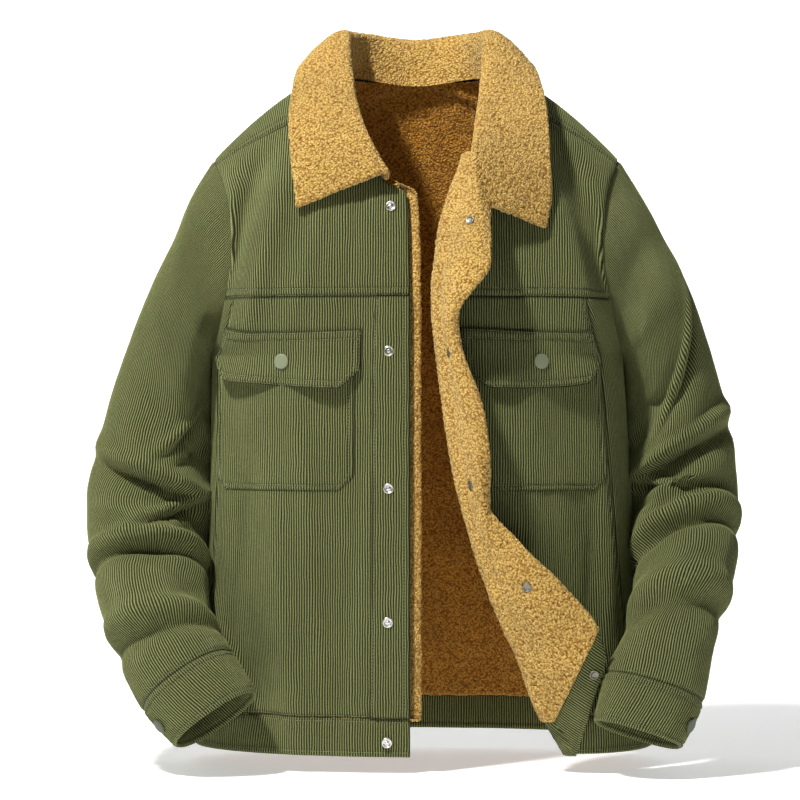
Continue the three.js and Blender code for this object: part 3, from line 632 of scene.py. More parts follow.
# Yokes: the front ones run from the chest seam over the collar bone, the back one is a single piece
# over both shoulders with its wales from front to back. Two rows of stitches follow each lower edge.
sew("right_yoke_cloth", "right_front_yoke",
    [front_part("right", YOKE_SEAM, SHOULDER_SEAM, 0, 1, hems=(1.6, 8.6), mid=0.5)],
    olive_corduroy)
sew("left_yoke_cloth", "left_front_yoke",
    [front_part("left", YOKE_SEAM, SHOULDER_SEAM, 0, 1, hems=(1.6, 8.6), mid=0.5, seams="rbt", rims="rbt"),
     front_part("left", YOKE_SEAM, 0.82, -1, 0, first=-1.0, spacing=WALE, ribs=False, seams="b", rims="lbt",
                mid=-0.7)],
    olive_corduroy)
sew("back_yoke_cloth", "back_yoke",
    [front_part(side, SHOULDER_SEAM, BACK_YOKE_SEAM, 0, 1, hems=(2.0, 8.0, -2.0, -8.6), mid=0.6,
                seams="rbt", rims="rbt") for side in ("right", "left")],
    olive_corduroy)

# Back: one piece from the yoke to the hem band, between the two side panels.
sew("back_cloth", "back",
    [front_part(side, BACK_YOKE_SEAM, 2 - BAND_TOP, 0, BACK_PANEL_EDGE[side], step=6.0, mid=0.4, over=(-5,),
                seams="rbt", rims="rbt") for side in ("right", "left")],
    olive_corduroy)


# Hem band: corduroy folded double along the hem, sewn to the panels above it and topstitched near
# both of its edges. The left front's band turns back with the front.
def pinched(distance, radius=2.6):
    """Share of the full thickness near a folded or sewn edge."""
    near = np.clip(distance / radius, 0, 1)
    return np.sqrt(np.clip(1 - (1 - near) ** 2, 0, 1))


def doubled(base, normal, w, d, distances, rows, middle, half, seams=()):
    """Outer face, fold and inner face of a doubled strip, as one loop of rows."""
    thick = np.ones_like(w)
    for distance in distances:
        thick = thick * pinched(distance)
    rib = cloth_face(w, d, [*distances, *seams], rows) - CORDUROY
    outer = base + normal * ((middle + half * thick) + rib * thick)[..., None]
    inner = base + normal * ((middle - half * thick) - 0.6 * rib * thick)[..., None]
    points = np.concatenate([outer, inner[::-1]])
    # painted shade for the band's colour at its seams and stitch rows, kept as the seam attribute
    deep = seam_shade([distances[0] + 9, *seams], rows)
    return (points, np.concatenate([w, w[::-1]]), np.concatenate([d, 2 * d.max() - d[::-1]]),
            np.concatenate([deep, deep[::-1]]))


def band_part(side, t0, t1, low, high, mid, ends, first=0.0, origin="inner", spacing=WALE / 4):
    ts, run = even_rows(side, t0, t1, mid, 8.0, (3.0, -6.0))
    s, w, w_low, w_high = lay_wales(side, ts, low, high, first, spacing, origin)
    t, d = np.broadcast_to(ts[:, None], s.shape), np.broadcast_to(run[:, None], s.shape)
    base, normal = body(side, t, s), body_normal(side, t, s)
    distances = [d, run[-1] - d]
    if "l" in ends:
        distances.append(w - w_low)
    if "r" in ends:
        distances.append(w_high - w)
    hems = [d - (run[-1] - 3.0), d - 6.0] if t0 < 1 else [d - 3.0, d - (run[-1] - 6.0)]
    points, across, along, deep = doubled(base, normal, w, d, distances, hems, -0.6, 2.7)
    for mark in ((run[-1] - 3.0, 6.0) if t0 < 1 else (3.0, run[-1] - 6.0)):
        line = int(np.argmin(abs(run - mark)))
        keep_stitches(points[line], normal[line])
    i, j = s.shape[0] // 2, s.shape[1] // 2
    width, length, area = cut_size(base)
    return {"points": points, "across": across, "along": along, "seam": deep, "outward": normal[i, j],
            "row": i, "flat": (width, length, area)}


for side in ("right", "left"):
    parts = [band_part(side, 0, BAND_TOP, 0, 1, 0.4, "lr" if side == "right" else "r")]
    if side == "left":
        parts.append(band_part(side, 0, BAND_TOP, -1, 0, 0.4, "l", first=-1.0))
    sew(f"{side}_band_cloth", f"{side}_hem_band", parts, olive_corduroy)
sew("back_band_cloth", "back_hem_band",
    [band_part(side, 2 - BAND_TOP, 2, 0, 1, 0.4, "r") for side in ("right", "left")],
    olive_corduroy)

# Sleeves: a tube each, set into the armhole and bent at the elbow, where the cloth breaks into
# folds that run round the arm. v runs from the armhole (0) to the end of the cuff (1), the angle
# round the arm from its outside (0) by the front (90) to its inside (180).
CUFF_SEAM = 0.92
sleeve_rings = {
    "right": table(
        "v ox oz ix iz y deep", [0.00, -215, -54, -216, -262, 0, 73], [0.08, -237, -90, -221, -269, 0, 74],
        [0.16, -257, -136, -221, -284, 0, 73], [0.25, -283, -193, -221, -307, 1, 71],
        [0.34, -309, -260, -222, -335, 3, 69], [0.43, -330, -325, -222, -366, 4, 67],
        [0.52, -345, -384, -225, -408, 1, 65], [0.61, -350, -437, -226, -450, -10, 62],
        [0.70, -340, -491, -224, -491, -38, 58], [0.79, -322, -545, -217, -524, -80, 54],
        [0.86, -298, -598, -203, -550, -112, 49], [0.92, -278, -630, -192, -569, -128, 44],
        [1.00, -245, -664, -166, -609, -144, 38]),
    "left": table(
        "v ox oz ix iz y deep", [0.00, 215, -54, 218, -262, 0, 73], [0.08, 239, -93, 223, -269, 0, 74],
        [0.16, 263, -136, 225, -282, 0, 73], [0.25, 287, -186, 227, -304, 1, 71],
        [0.34, 306, -239, 229, -332, 3, 69], [0.43, 323, -293, 230, -363, 4, 67],
        [0.52, 336, -349, 234, -396, 1, 65], [0.61, 341, -405, 235, -430, -8, 62],
        [0.70, 337, -463, 234, -466, -48, 58], [0.79, 321, -516, 230, -503, -96, 52],
        [0.86, 303, -564, 212, -556, -132, 46], [0.92, 290, -619, 193, -589, -148, 41],
        [1.00, 267, -664, 182, -637, -160, 36]),
}
sleeve_folds = {
    "right": table(
        "v angle slope width reach depth", [0.40, 130, 0.06, 0.06, 65, -7], [0.50, 100, 0.06, 0.045, 70, 5],
        [0.57, 120, 0.07, 0.045, 70, -11], [0.65, 80, 0.07, 0.045, 70, 7],
        [0.72, 105, 0.07, 0.045, 75, -11],
        [0.80, 75, 0.05, 0.04, 70, 6], [0.62, -90, 0.05, 0.05, 60, -7], [0.10, 80, -0.08, 0.06, 45, -6]),
    "left": table(
        "v angle slope width reach depth", [0.38, 130, 0.06, 0.05, 60, -9], [0.48, 120, 0.06, 0.045, 65, 5],
        [0.55, 125, 0.07, 0.045, 65, -11], [0.63, 95, 0.07, 0.045, 70, 7],
        [0.70, 115, 0.07, 0.045, 70, -11],
        [0.79, 85, 0.05, 0.04, 65, 6], [0.62, -90, 0.05, 0.05, 60, -7], [0.10, 80, -0.08, 0.06, 45, -6]),
}
sleeve_creases = {
    "right": table(
        "v angle slope width reach depth", [0.45, 150, 0.05, 0.014, 40, -2.5],
        [0.53, 140, 0.06, 0.016, 45, 2.5],
        [0.605, 110, 0.07, 0.015, 50, -3.0], [0.685, 130, 0.06, 0.014, 45, 2.5],
        [0.76, 100, 0.05, 0.014, 50, -2.6],
        [0.84, 120, 0.05, 0.016, 50, -2.2], [0.88, 60, 0.03, 0.012, 50, 1.6],
        [0.30, 150, 0.05, 0.02, 40, -2.0],
        [0.55, -60, 0.05, 0.018, 45, 2.2], [0.66, -110, 0.05, 0.018, 45, -2.4],
        [0.74, -70, 0.05, 0.018, 50, 2.0],
        [0.10, 70, -0.05, 0.040, 50, -9.0], [0.17, 95, -0.09, 0.030, 45, 4.0],
        [0.08, -70, 0.08, 0.030, 45, -4.0],
        [0.47, 126, -0.09, 0.020, 26, -6], [0.655, 126, -0.04, 0.020, 28, -7],
        [0.795, 132, -0.03, 0.018, 28, -6], [0.45, 172, 0.0, 0.19, 30, 8],
        [0.62, 180, 0.0, 0.06, 30, 4], [0.26, 146, 0.0, 0.16, 19, -13],
        [0.28, 112, 0.0, 0.17, 20, 5]),
    "left": table(
        "v angle slope width reach depth", [0.43, 150, 0.05, 0.014, 40, -2.5],
        [0.515, 140, 0.06, 0.016, 45, 2.5],
        [0.59, 110, 0.07, 0.015, 50, -3.0], [0.665, 130, 0.06, 0.014, 45, 2.5],
        [0.745, 100, 0.05, 0.014, 50, -2.6],
        [0.83, 120, 0.05, 0.016, 50, -2.2], [0.87, 60, 0.03, 0.012, 50, 1.6],
        [0.30, 150, 0.05, 0.02, 40, -2.0],
        [0.55, -60, 0.05, 0.018, 45, 2.2], [0.66, -110, 0.05, 0.018, 45, -2.4],
        [0.74, -70, 0.05, 0.018, 50, 2.0],
        [0.10, 70, -0.05, 0.040, 50, -9.0], [0.17, 95, -0.09, 0.030, 45, 4.0],
        [0.08, -70, 0.08, 0.030, 45, -4.0],
        [0.345, 122, -0.06, 0.020, 28, -6], [0.66, 134, -0.05, 0.020, 28, -7],
        [0.42, 172, 0.0, 0.17, 30, 12], [0.62, 180, 0.0, 0.07, 30, 6], [0.78, 176, 0.0, 0.05, 32, 7],
        [0.26, 146, 0.0, 0.16, 19, -11],
        [0.28, 112, 0.0, 0.17, 20, 4]),
}
sleeve_breaks = {
    "right": table(
        "v angle slope width reach depth", [0.515, 85, 0.02, 0.020, 60, 11],
        [0.695, 88, 0.0, 0.019, 80, 14],
        [0.835, 85, 0.01, 0.018, 75, 12], [0.60, 120, -0.10, 0.020, 34, 9],
        [0.385, 128, -0.16, 0.022, 30, 7], [0.60, -100, 0.03, 0.030, 60, 5],
        [0.76, -90, 0.02, 0.028, 60, 5], [0.32, -100, 0.03, 0.035, 50, 4]),
    "left": table(
        "v angle slope width reach depth", [0.500, 80, 0.01, 0.021, 70, 13],
        [0.700, 88, 0.02, 0.019, 80, 14],
        [0.820, 85, 0.01, 0.018, 75, 12], [0.58, 122, -0.10, 0.020, 34, 9],
        [0.33, 70, 0.12, 0.024, 36, 8], [0.60, -100, 0.03, 0.030, 60, 5], [0.76, -90, 0.02, 0.028, 60, 5],
        [0.32, -100, 0.03, 0.035, 50, 4]),
}
BREAK_PEAK = 2.33        # makes the highest point of a break equal its depth
armhole_angle = smooth_line(np.array([-180.0, -135, -90, -45, 0, 45, 90, 135, 180]),
                            np.array([1.5, 1.44, 1.31, 1.16, 1.0, 0.84, 0.69, 0.56, 0.5]))
sleeve_lines = {side: {key: smooth_line(rows["v"], rows[key])
                       for key in ("ox", "oz", "ix", "iz", "y", "deep")}
                for side, rows in sleeve_rings.items()}


def ring(side, v, degrees):
    """A point of the plain sleeve, before its folds."""
    lines = sleeve_lines[side]
    outer = lambda w: np.stack([lines["ox"](w), lines["y"](w), lines["oz"](w)], axis=-1)
    inner = lambda w: np.stack([lines["ix"](w), lines["y"](w), lines["iz"](w)], axis=-1)
    middle = lambda w: (outer(w) + inner(w)) / 2
    half = (outer(v) - inner(v)) / 2
    down = middle(np.minimum(v + 0.03, 1)) - middle(np.maximum(v - 0.03, 0))
    front = unit(np.cross(down, half))
    front = front * np.where(front[..., 1:2] > 0, -1, 1)
    c, s = np.cos(np.radians(degrees)), np.sin(np.radians(degrees))
    return (middle(v) + half * (np.sign(c) * abs(c) ** 0.9)[..., None]
            + front * (np.sign(s) * abs(s) ** 0.9 * lines["deep"](v))[..., None])


def sleeve(side, v, degrees, creases=True):
    """A point of the sleeve's sewing surface."""
    v, degrees = np.broadcast_arrays(np.asarray(v, float), np.asarray(degrees, float))
    angle = (degrees + 540) % 360 - 180
    p = ring(side, v, angle)
    middle = (ring(side, v, 0 * angle) + ring(side, v, 0 * angle + 180)) / 2
    swell = np.zeros_like(v)
    for folds in [sleeve_folds[side]] + ([sleeve_creases[side]] if creases else []):
        for v0, a0, slope, width, reach, depth in zip(*folds.values()):
            turn = (angle - a0 + 540) % 360 - 180
            off = (v - v0 - slope * turn / 60) / width
            swell += depth * np.exp(-off * off - (turn / reach) ** 2)
    if creases:
        # a break stands out above its line and drops in below it
        for v0, a0, slope, width, reach, depth in zip(*sleeve_breaks[side].values()):
            turn = (angle - a0 + 540) % 360 - 180
            off = (v - v0 - slope * turn / 60) / width
            swell -= depth * BREAK_PEAK * off * np.exp(-off * off - (turn / reach) ** 2)
    swell = swell * ease(v / 0.1) * ease((0.915 - v) / 0.05)
    p = p + unit(p - middle) * swell[..., None]
    join = 1 - ease(v / 0.14)
    seam = armhole_line[side](armhole_angle(angle)) - ring(side, 0 * v, angle)
    return p + seam * join[..., None]


def sleeve_normal(side, v, angle):
    v = np.clip(v, 0.002, 0.998)
    du = sleeve(side, v + 1e-3, angle) - sleeve(side, v - 1e-3, angle)
    dv = sleeve(side, v, angle + 0.8) - sleeve(side, v, angle - 0.8)
    return unit(np.cross(du, dv)) * HANDED[side]


def sleeve_grid(side, v0, v1, step, fine, spacing=WALE / 4):
    """Rows down the sleeve and columns along its wales, clamped at the underarm seam."""
    v = np.linspace(v0, v1, 300)
    line = sleeve(side, v, 0 * v + 45, creases=False)
    length = np.concatenate([[0], np.cumsum(np.linalg.norm(np.diff(line, axis=0), axis=1))])
    marks = list(np.linspace(0, length[-1], int(length[-1] / step)))
    for mark in fine:
        place = mark if mark >= 0 else length[-1] + mark
        marks += [place - 2, place - 1, place, place + 1, place + 2]
    marks += [0.9, 2.0, 3.4, length[-1] - 0.9, length[-1] - 2.0, length[-1] - 3.4]
    kept = [0.0]
    for mark in sorted(mark for mark in marks if 0 < mark <= length[-1]):
        if mark - kept[-1] > 0.55:
            kept.append(mark)
    kept[-1] = length[-1]
    vs, run = np.interp(kept, length, v), np.array(kept)
    samples = np.linspace(-180, 180, 241)
    p = sleeve(side, vs[:, None], samples[None, :] * 0.99999, creases=False)
    around = np.concatenate([np.zeros((len(vs), 1)),
                             np.cumsum(np.linalg.norm(np.diff(p, axis=1), axis=2), axis=1)], axis=1)
    around -= around[:, 120:121]
    w_low, w_high = around[:, :1], around[:, -1:]
    columns = spacing * np.arange(math.floor(w_low.min() / spacing), math.ceil(w_high.max() / spacing) + 1)
    w = np.clip(columns[None, :], w_low, w_high)
    angle = np.array([np.interp(row_w, row, samples) for row_w, row in zip(w, around)])
    d = np.broadcast_to(run[:, None], w.shape)
    base = sleeve(side, vs[:, None], angle)
    normal = sleeve_normal(side, vs[:, None] + 0 * angle, angle)
    return base, normal, w, d, np.minimum(w - w_low, w_high - w), run[-1]


for side in ("right", "left"):
    base, normal, w, d, underarm, length = sleeve_grid(side, 0, CUFF_SEAM, 4.6, (5.0, -3.0))
    face = cloth_face(w, d, [d, length - d, underarm], [length - d - 3.0])
    line = int(np.argmin(abs(length - d[:, 0] - 3.0)))
    keep_stitches((base + normal * face[..., None])[line], normal[line])
    # the second channel is the painted shade at the seams and under the stitches, kept as the seam
    # attribute
    marks = np.stack([w, seam_shade([d, length - d, underarm], [length - d - 3.0])], axis=-1)
    points, marks, d = turned_under(base + normal * face[..., None], normal, 1.6, "bt", marks, d)
    sew(f"{side}_sleeve_cloth", f"{side}_sleeve",
        [{"points": points, "across": marks[..., 0], "seam": marks[..., 1], "along": d,
          "outward": normal[60, 350], "row": 61, "column": 350, "flat": cut_size(base)}],
        olive_corduroy)

# Cuffs: a doubled band round each wrist with two rows of stitches below its seam.
for side in ("right", "left"):
    base, normal, w, d, underarm, length = sleeve_grid(side, CUFF_SEAM, 1, 5.0, (2.6, 8.0, -5.0))
    points, across, along, deep = doubled(base, normal, w, d, [d, length - d],
                                          [d - 2.6, d - 8.0, length - d - 5.0], 0.1, 2.2, [underarm])
    for mark in (2.6, 8.0, length - 5.0):
        line = int(np.argmin(abs(d[:, 0] - mark)))
        keep_stitches(points[line], normal[line])
    width, long, area = cut_size(base)
    sew(f"{side}_cuff_cloth", f"{side}_cuff",
        [{"points": points, "across": across, "along": along, "seam": deep, "outward": normal[6, 180],
          "row": 6, "column": 180, "flat": (width, long, area)}],
        olive_corduroy)


# Chest pockets and placket: patch pockets with cut-off lower corners under flaps whose rounded corners
# are drawn cut off straight, edged with two rows of stitches, and the placket strip beside the front edge.
def cut_corner(size):
    return lambda run: tuple(np.maximum(0, size - run) * 1.15 for edge in "lr")


def flap_lift(cap_at):
    """The flap stands off the pocket away from its cap, most at its lower edge."""
    def lift(w, d, edges):
        free = np.clip(1 - d / 34, 0, 1) ** 1.5
        away = 1 - np.exp(-((w - cap_at) / 24) ** 2)
        return 4.2 + free * (9.0 * away + 1.6 * ripple(w / 24, d / 60, 31))
    return lift


pocket_places = table("side pocket_low pocket_high flap_low flap_high cap_at",
                      [0, 0.138, 0.785, 0.1215, 0.785, 139.0], [1, 0.03, 0.60, 0.03, 0.60, 120.0])
for row, side in enumerate(("right", "left")):
    pocket_low, pocket_high, flap_low, flap_high, cap_at = (
        pocket_places[key][row] for key in ("pocket_low", "pocket_high", "flap_low", "flap_high", "cap_at"))
    sew(f"{side}_pocket_cloth", f"{side}_pocket",
        [front_part(side, 0.322, UNDERARM, pocket_low, pocket_high, hems=(6.5,), over=(6.5, -6.5), lift=1.9,
                    inset=cut_corner(15), depth=3.2)],
        olive_corduroy)
    sew(f"{side}_flap_cloth", f"{side}_pocket_flap",
        [front_part(side, 0.452, 0.545, flap_low, flap_high, step=4.0, hems=(1.6, 7.5, -2.0, -9.0),
                    over=(1.6, 7.5, -1.6, -7.5), lift=flap_lift(cap_at), inset=cut_corner(19), depth=2.2,
                    rise=lambda s: 0.020 * np.clip((s - 0.2) / 0.585, 0, 1) ** 1.4)],
        olive_corduroy)
sew("placket_cloth", "placket",
    [front_part("right", BAND_TOP, YOKE_SEAM, 0, 0.0885, over=(6.0, -3.0), lift=1.9, mid=0.04, depth=3.0)],
    olive_corduroy)


# Topstitching: twisted olive thread along the edges of the pieces, one row or two, sewn by machine
# through all the layers. Each stitch lies a little proud of the groove that it pulls in the cloth.
# STITCH is its length, STITCH_GAP the bare cloth to the next one and THREAD half its thickness.
STITCH, STITCH_GAP, THREAD = 2.6, 0.9, 0.34
bead = bmesh.new()
bmesh.ops.create_uvsphere(bead, u_segments=5, v_segments=4, radius=1)
bead_mesh = bpy.data.meshes.new("bead")
bead.to_mesh(bead_mesh)
bead.free()
bead_points = np.empty(len(bead_mesh.vertices) * 3)
bead_mesh.vertices.foreach_get("co", bead_points)
bead_points = bead_points.reshape(-1, 3)
bead_faces = [list(face.vertices) for face in bead_mesh.polygons]
bpy.data.meshes.remove(bead_mesh)
thread_points, thread_count = [], 0
for row_points, row_normals in stitch_rows:
    run = np.concatenate([[0], np.cumsum(np.linalg.norm(np.diff(row_points, axis=0), axis=1))])
    if run[-1] < 12:
        continue
    starts = np.arange(3.0, run[-1] - 5.0, STITCH + STITCH_GAP)
    place = lambda at, grid: np.stack([np.interp(at, run, grid[:, axis]) for axis in range(3)], axis=-1)
    first, last = place(starts, row_points), place(starts + STITCH, row_points)
    out = unit(place(starts + STITCH / 2, row_normals))
    way = unit(last - first)
    beside = unit(np.cross(out, way))
    centre = (first + last) / 2 + out * 0.25
    thread_points.append((centre[:, None] + way[:, None] * bead_points[None, :, 2:3] * STITCH / 2
                          + beside[:, None] * bead_points[None, :, 0:1] * THREAD
                          + out[:, None] * bead_points[None, :, 1:2] * THREAD).reshape(-1, 3))
    thread_count += len(starts)
thread_faces = [[corner + k * len(bead_points) for corner in face]
                for k in range(thread_count) for face in bead_faces]
thread_mesh = bpy.data.meshes.new("topstitching")
thread_mesh.from_pydata((np.concatenate(thread_points) * 0.001).tolist(), [], thread_faces)
thread_mesh.shade_smooth()
thread = bpy.data.materials.new("olive thread")
thread.use_nodes = True
add, link, shader = node_maker(thread)
twist = add("ShaderNodeTexNoise", Scale=1500.0, Detail=2.0)
link(add("ShaderNodeTexCoord").outputs["Object"], twist.inputs["Vector"])
tone = add("ShaderNodeMix", data_type="RGBA")
tone.inputs[6].default_value, tone.inputs[7].default_value = (0.15, 0.17, 0.065, 1), (0.36, 0.39, 0.19, 1)
link(twist.outputs["Fac"], tone.inputs[0])
link(tone.outputs[2], shader.inputs["Base Color"])
shader.inputs["Roughness"].default_value = 0.65
shader.inputs["Sheen Weight"].default_value = 0.2
thread_mesh.materials.append(thread)
topstitching = bpy.data.objects.new("topstitching", thread_mesh)
bpy.context.scene.collection.objects.link(topstitching)
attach(topstitching, "root")


# Pile lining: a knitted ground with a curly sheared pile, cut wider than the fronts so that it shows
# as a soft edge, turned out with the left front, and stopping above the hem band.
def tufts(u, v, seed):
    """Height of the curls from 0 to 1: rounded tufts with finer ones in them."""
    total = np.zeros_like(u)
    u, v = u + 0.9 * ripple(u / 2.6, v / 2.6, seed + 5), v + 0.9 * ripple(u / 2.6, v / 2.6, seed + 9)
    for size, share, turn in ((3.0, 0.6, 0.4), (2.0, 0.4, 1.1)):
        x = (u * math.cos(turn) - v * math.sin(turn)) / size
        y = (u * math.sin(turn) + v * math.cos(turn)) / size * 0.8
        i, j = np.floor(x), np.floor(y)
        near = np.full_like(u, 9.0)
        for di in (-1, 0, 1):
            for dj in (-1, 0, 1):
                px, py = i + di + scatter(i + di, j + dj, seed), j + dj + scatter(i + di, j + dj, seed + 1)
                near = np.minimum(near, np.hypot(x - px, y - py))
        total += share * np.clip(1 - near ** 2 * 1.3, 0, 1)
    return total


def pile_part(base, normal, w, d, outs, face, back, seed, curl=2.8, sink=0.0):
    """One grid of pile on a surface. normal points to the pile side; outs gives, for each free edge,
    the direction out of the cloth there, and the edge is rolled round to the back."""
    rounds = 5
    over = np.zeros(base.shape[:2])
    up = np.zeros(base.shape[:2])
    counts = {key: rounds if key in outs else 0 for key in "lrbt"}
    shape = ((counts["b"], counts["t"]), (counts["l"], counts["r"]))
    grow = lambda grid: np.pad(grid, shape + ((0, 0),) * (grid.ndim - 2), mode="edge")
    sink = grow(sink + 0 * w)
    base, normal, w, d = grow(base), grow(normal), grow(w), grow(d)
    rows, columns = base.shape[:2]
    row, column = np.arange(rows)[:, None], np.arange(columns)[None, :]
    down = np.clip(counts["b"] - row, 0, None) / rounds
    top = np.clip(row - (rows - 1 - counts["t"]), 0, None) / rounds
    left = np.clip(counts["l"] - column, 0, None) / rounds
    right = np.clip(column - (columns - 1 - counts["r"]), 0, None) / rounds
    zero = np.zeros((1, 1, 3))
    lead = {"l": outs.get("l"), "r": outs.get("r"), "b": outs.get("b"), "t": outs.get("t")}
    out = zero
    for key, share, axis in (("l", left, 0), ("r", right, 0), ("b", down, 1), ("t", top, 1)):
        if lead[key] is None:
            continue
        way = np.pad(lead[key], (shape[axis], (0, 0)), mode="edge")
        way = way[:, None, :] if axis == 0 else way[None, :, :]
        out = out + way * share[..., None]
    reach = np.clip(np.sqrt(np.maximum(down, top) ** 2 + np.maximum(left, right) ** 2), 0, 1)
    out = unit(out + 0 * base)
    radius, middle = (face - back) / 2, (face + back) / 2
    turn = math.pi * reach[..., None]
    push = out * np.sin(turn) + normal * np.cos(turn)
    w = w + (right - left) * 3 * radius
    d = d + (top - down) * 3 * radius
    curls = tufts(w, d, seed) + 0 * reach
    settle = 0.9 * ripple(w / 17, d / 17, seed + 3)
    p = base + normal * middle + push * (radius + settle[..., None] * 0.6
                                         + curl * (curls[..., None] - 0.55)) - normal * sink[..., None]
    i, j = rows // 2, columns // 2
    return {"points": p, "across": w, "along": d, "outward": push[i, j], "tuft": curls}


def pile_material(name, lit, deep):
    """Curly pile with fine fibres and a soft sheen: its colour runs from the pale lit tips down to a
    deeper, browner painted shade in the hollows between the curls.
    """
    material = bpy.data.materials.new(name)
    material.use_nodes = True
    add, link, shader = node_maker(material)
    tuft = add("ShaderNodeAttribute", attribute_name="tuft")
    place = add("ShaderNodeTexCoord")
    fibre = add("ShaderNodeTexNoise", Scale=1300.0, Detail=3.0, Roughness=0.75)
    swirl = add("ShaderNodeTexNoise", Scale=230.0, Detail=2.0, Roughness=0.5)
    patch = add("ShaderNodeTexNoise", Scale=22.0, Detail=3.0)
    for noise in (fibre, swirl, patch):
        link(place.outputs["Object"], noise.inputs["Vector"])
    push = add("ShaderNodeVectorMath", operation="SCALE")
    push.inputs["Scale"].default_value = 0.0028
    link(swirl.outputs["Color"], push.inputs[0])
    bent = add("ShaderNodeVectorMath", operation="ADD")
    link(place.outputs["Object"], bent.inputs[0])
    link(push.outputs[0], bent.inputs[1])
    cell = add("ShaderNodeTexVoronoi", Scale=430.0)
    link(bent.outputs[0], cell.inputs["Vector"])
    curl = spread(add, 0.72, 0.12)
    link(cell.outputs["Distance"], curl.inputs["Value"])
    height = add("ShaderNodeMath", operation="MULTIPLY_ADD")
    height.inputs[1].default_value = 0.45
    link(tuft.outputs["Fac"], height.inputs[0])
    link(curl.outputs[0], height.inputs[2])
    # painted shade: the colour darkens from the lit tips to the deep colour in the hollows between the
    # curls
    crevice_shade_mix = spread(add, 0.25, 1.05)
    link(height.outputs[0], crevice_shade_mix.inputs["Value"])
    colour = add("ShaderNodeMix", data_type="RGBA")
    colour.inputs[6].default_value, colour.inputs[7].default_value = deep, lit
    link(crevice_shade_mix.outputs[0], colour.inputs[0])
    worn = spread(add, 0.3, 0.7, 0.86, 1.1)
    link(patch.outputs["Fac"], worn.inputs["Value"])
    shade = add("ShaderNodeVectorMath", operation="SCALE")
    link(colour.outputs[2], shade.inputs[0])
    link(worn.outputs[0], shade.inputs["Scale"])
    link(shade.outputs[0], shader.inputs["Base Color"])
    detail = add("ShaderNodeMath", operation="MULTIPLY_ADD")
    detail.inputs[1].default_value = 0.5
    link(fibre.outputs["Fac"], detail.inputs[0])
    link(curl.outputs[0], detail.inputs[2])
    bump = add("ShaderNodeBump", Strength=0.9, Distance=0.0016)
    link(detail.outputs[0], bump.inputs["Height"])
    link(bump.outputs[0], shader.inputs["Normal"])
    shader.inputs["Roughness"].default_value = 0.95
    shader.inputs["Specular IOR Level"].default_value = 0.15
    shader.inputs["Sheen Weight"].default_value = 0.5
    shader.inputs["Sheen Roughness"].default_value = 0.5
    shader.inputs["Sheen Tint"].default_value = (1.0, 0.82, 0.45, 1)
    return material


# lit is the colour of the curls' tips; deep is painted shade in the hollows between them
golden_pile = pile_material("golden pile", (0.90, 0.60, 0.17, 1), (0.31, 0.135, 0.021, 1))
# a darker, redder copy of the same golden pile for the inside of the back: painted shade and painted bounce
# light
painted_shade_inner_pile = pile_material("golden pile inside", (0.86, 0.42, 0.06, 1), (0.30, 0.10, 0.009, 1))


# where the five snaps go through the fronts, which the lining needs for the dimples at the sockets
snap_names = ("neck", "chest", "middle", "lower", "hem")
snaps = table("t stud_s stud_lift socket_s cap_lift socket_lift", [0.745, 0.04, 1.9, -0.62, 4.2, 4.0],
              [0.505, 0.045, 2.9, -0.50, 4.8, 4.2], [0.326, 0.045, 3.4, -0.44, 3.0, 4.2],
              [0.17, 0.045, 3.5, -0.72, 4.4, 4.2], [0.024, 0.045, 2.9, -0.80, 4.2, 4.4])


EDGE_SWELL = 4.0         # the right front's pile past its edge
DIMPLE = 2.8             # round each socket
DIMPLE_REACH = 6.5


def lining_part(side, t0, t1, low, high, spacing, mid, free, seed, first=0.0):
    """One grid of the body's lining, its pile turned to the wearer."""
    ts, run = even_rows(side, t0, t1, mid, spacing * 1.05)
    s, w, w_low, w_high = lay_wales(side, ts, low, high, first, spacing)
    t, d = np.broadcast_to(ts[:, None], s.shape), np.broadcast_to(run[:, None], s.shape)
    base, normal = body(side, t, s), -body_normal(side, t, s)
    if side == "right":
        # past the front's edge the pile swells forward and catches the light
        base = base - normal * EDGE_SWELL * ease(-s / 0.05)[..., None]
    low_s, high_s = s[:, 0], s[:, -1]
    outs = {}
    if "l" in free:
        outs["l"] = unit(body(side, ts, low_s) - body(side, ts, low_s + 0.02))
    if "r" in free:
        outs["r"] = unit(body(side, ts, high_s) - body(side, ts, high_s - 0.02))
    if "b" in free:
        outs["b"] = unit(body(side, ts[0], s[0]) - body(side, ts[0] + 0.01, s[0]))
    if "t" in free:
        outs["t"] = unit(body(side, ts[-1], s[-1]) - body(side, ts[-1] - 0.01, s[-1]))
    sink = np.zeros_like(w)
    if side == "left":
        for t_snap, s_snap in zip(snaps["t"], snaps["socket_s"]):
            away = np.linalg.norm(base - body("left", t_snap, s_snap), axis=-1)
            sink += DIMPLE * np.exp(-(away / DIMPLE_REACH) ** 2)
    part = pile_part(base, normal, w, d, outs, LAYER_GAP + PILE - 0.2, LAYER_GAP, seed, sink=sink)
    part["flat"] = cut_size(base)
    return part


sew("right_lining_pile", "right_front_lining",
    [lining_part("right", BAND_TOP, 0.82, -0.085, 0.10, 1.3, 0.05, "lb", 11, first=-0.085),
     lining_part("right", BAND_TOP, 1.0, 0.10, 1, 3.2, 0.5, "b", 12)],
    golden_pile)
sew("left_lining_pile", "left_front_lining",
    [lining_part("left", BAND_TOP, 0.82, -1, 0.10, 1.3, -0.7, "lbt", 13, first=-1.0),
     lining_part("left", BAND_TOP, 1.0, 0.10, 1, 3.2, 0.5, "b", 14)],
    golden_pile)
# the back's lining takes the copy of the pile with painted inside shade
sew("back_lining_pile", "back_lining",
    [lining_part(side, 1.0, 2 - BAND_TOP, 0, 1, 2.5, 0.4, "t", 15) for side in ("right", "left")],
    painted_shade_inner_pile)

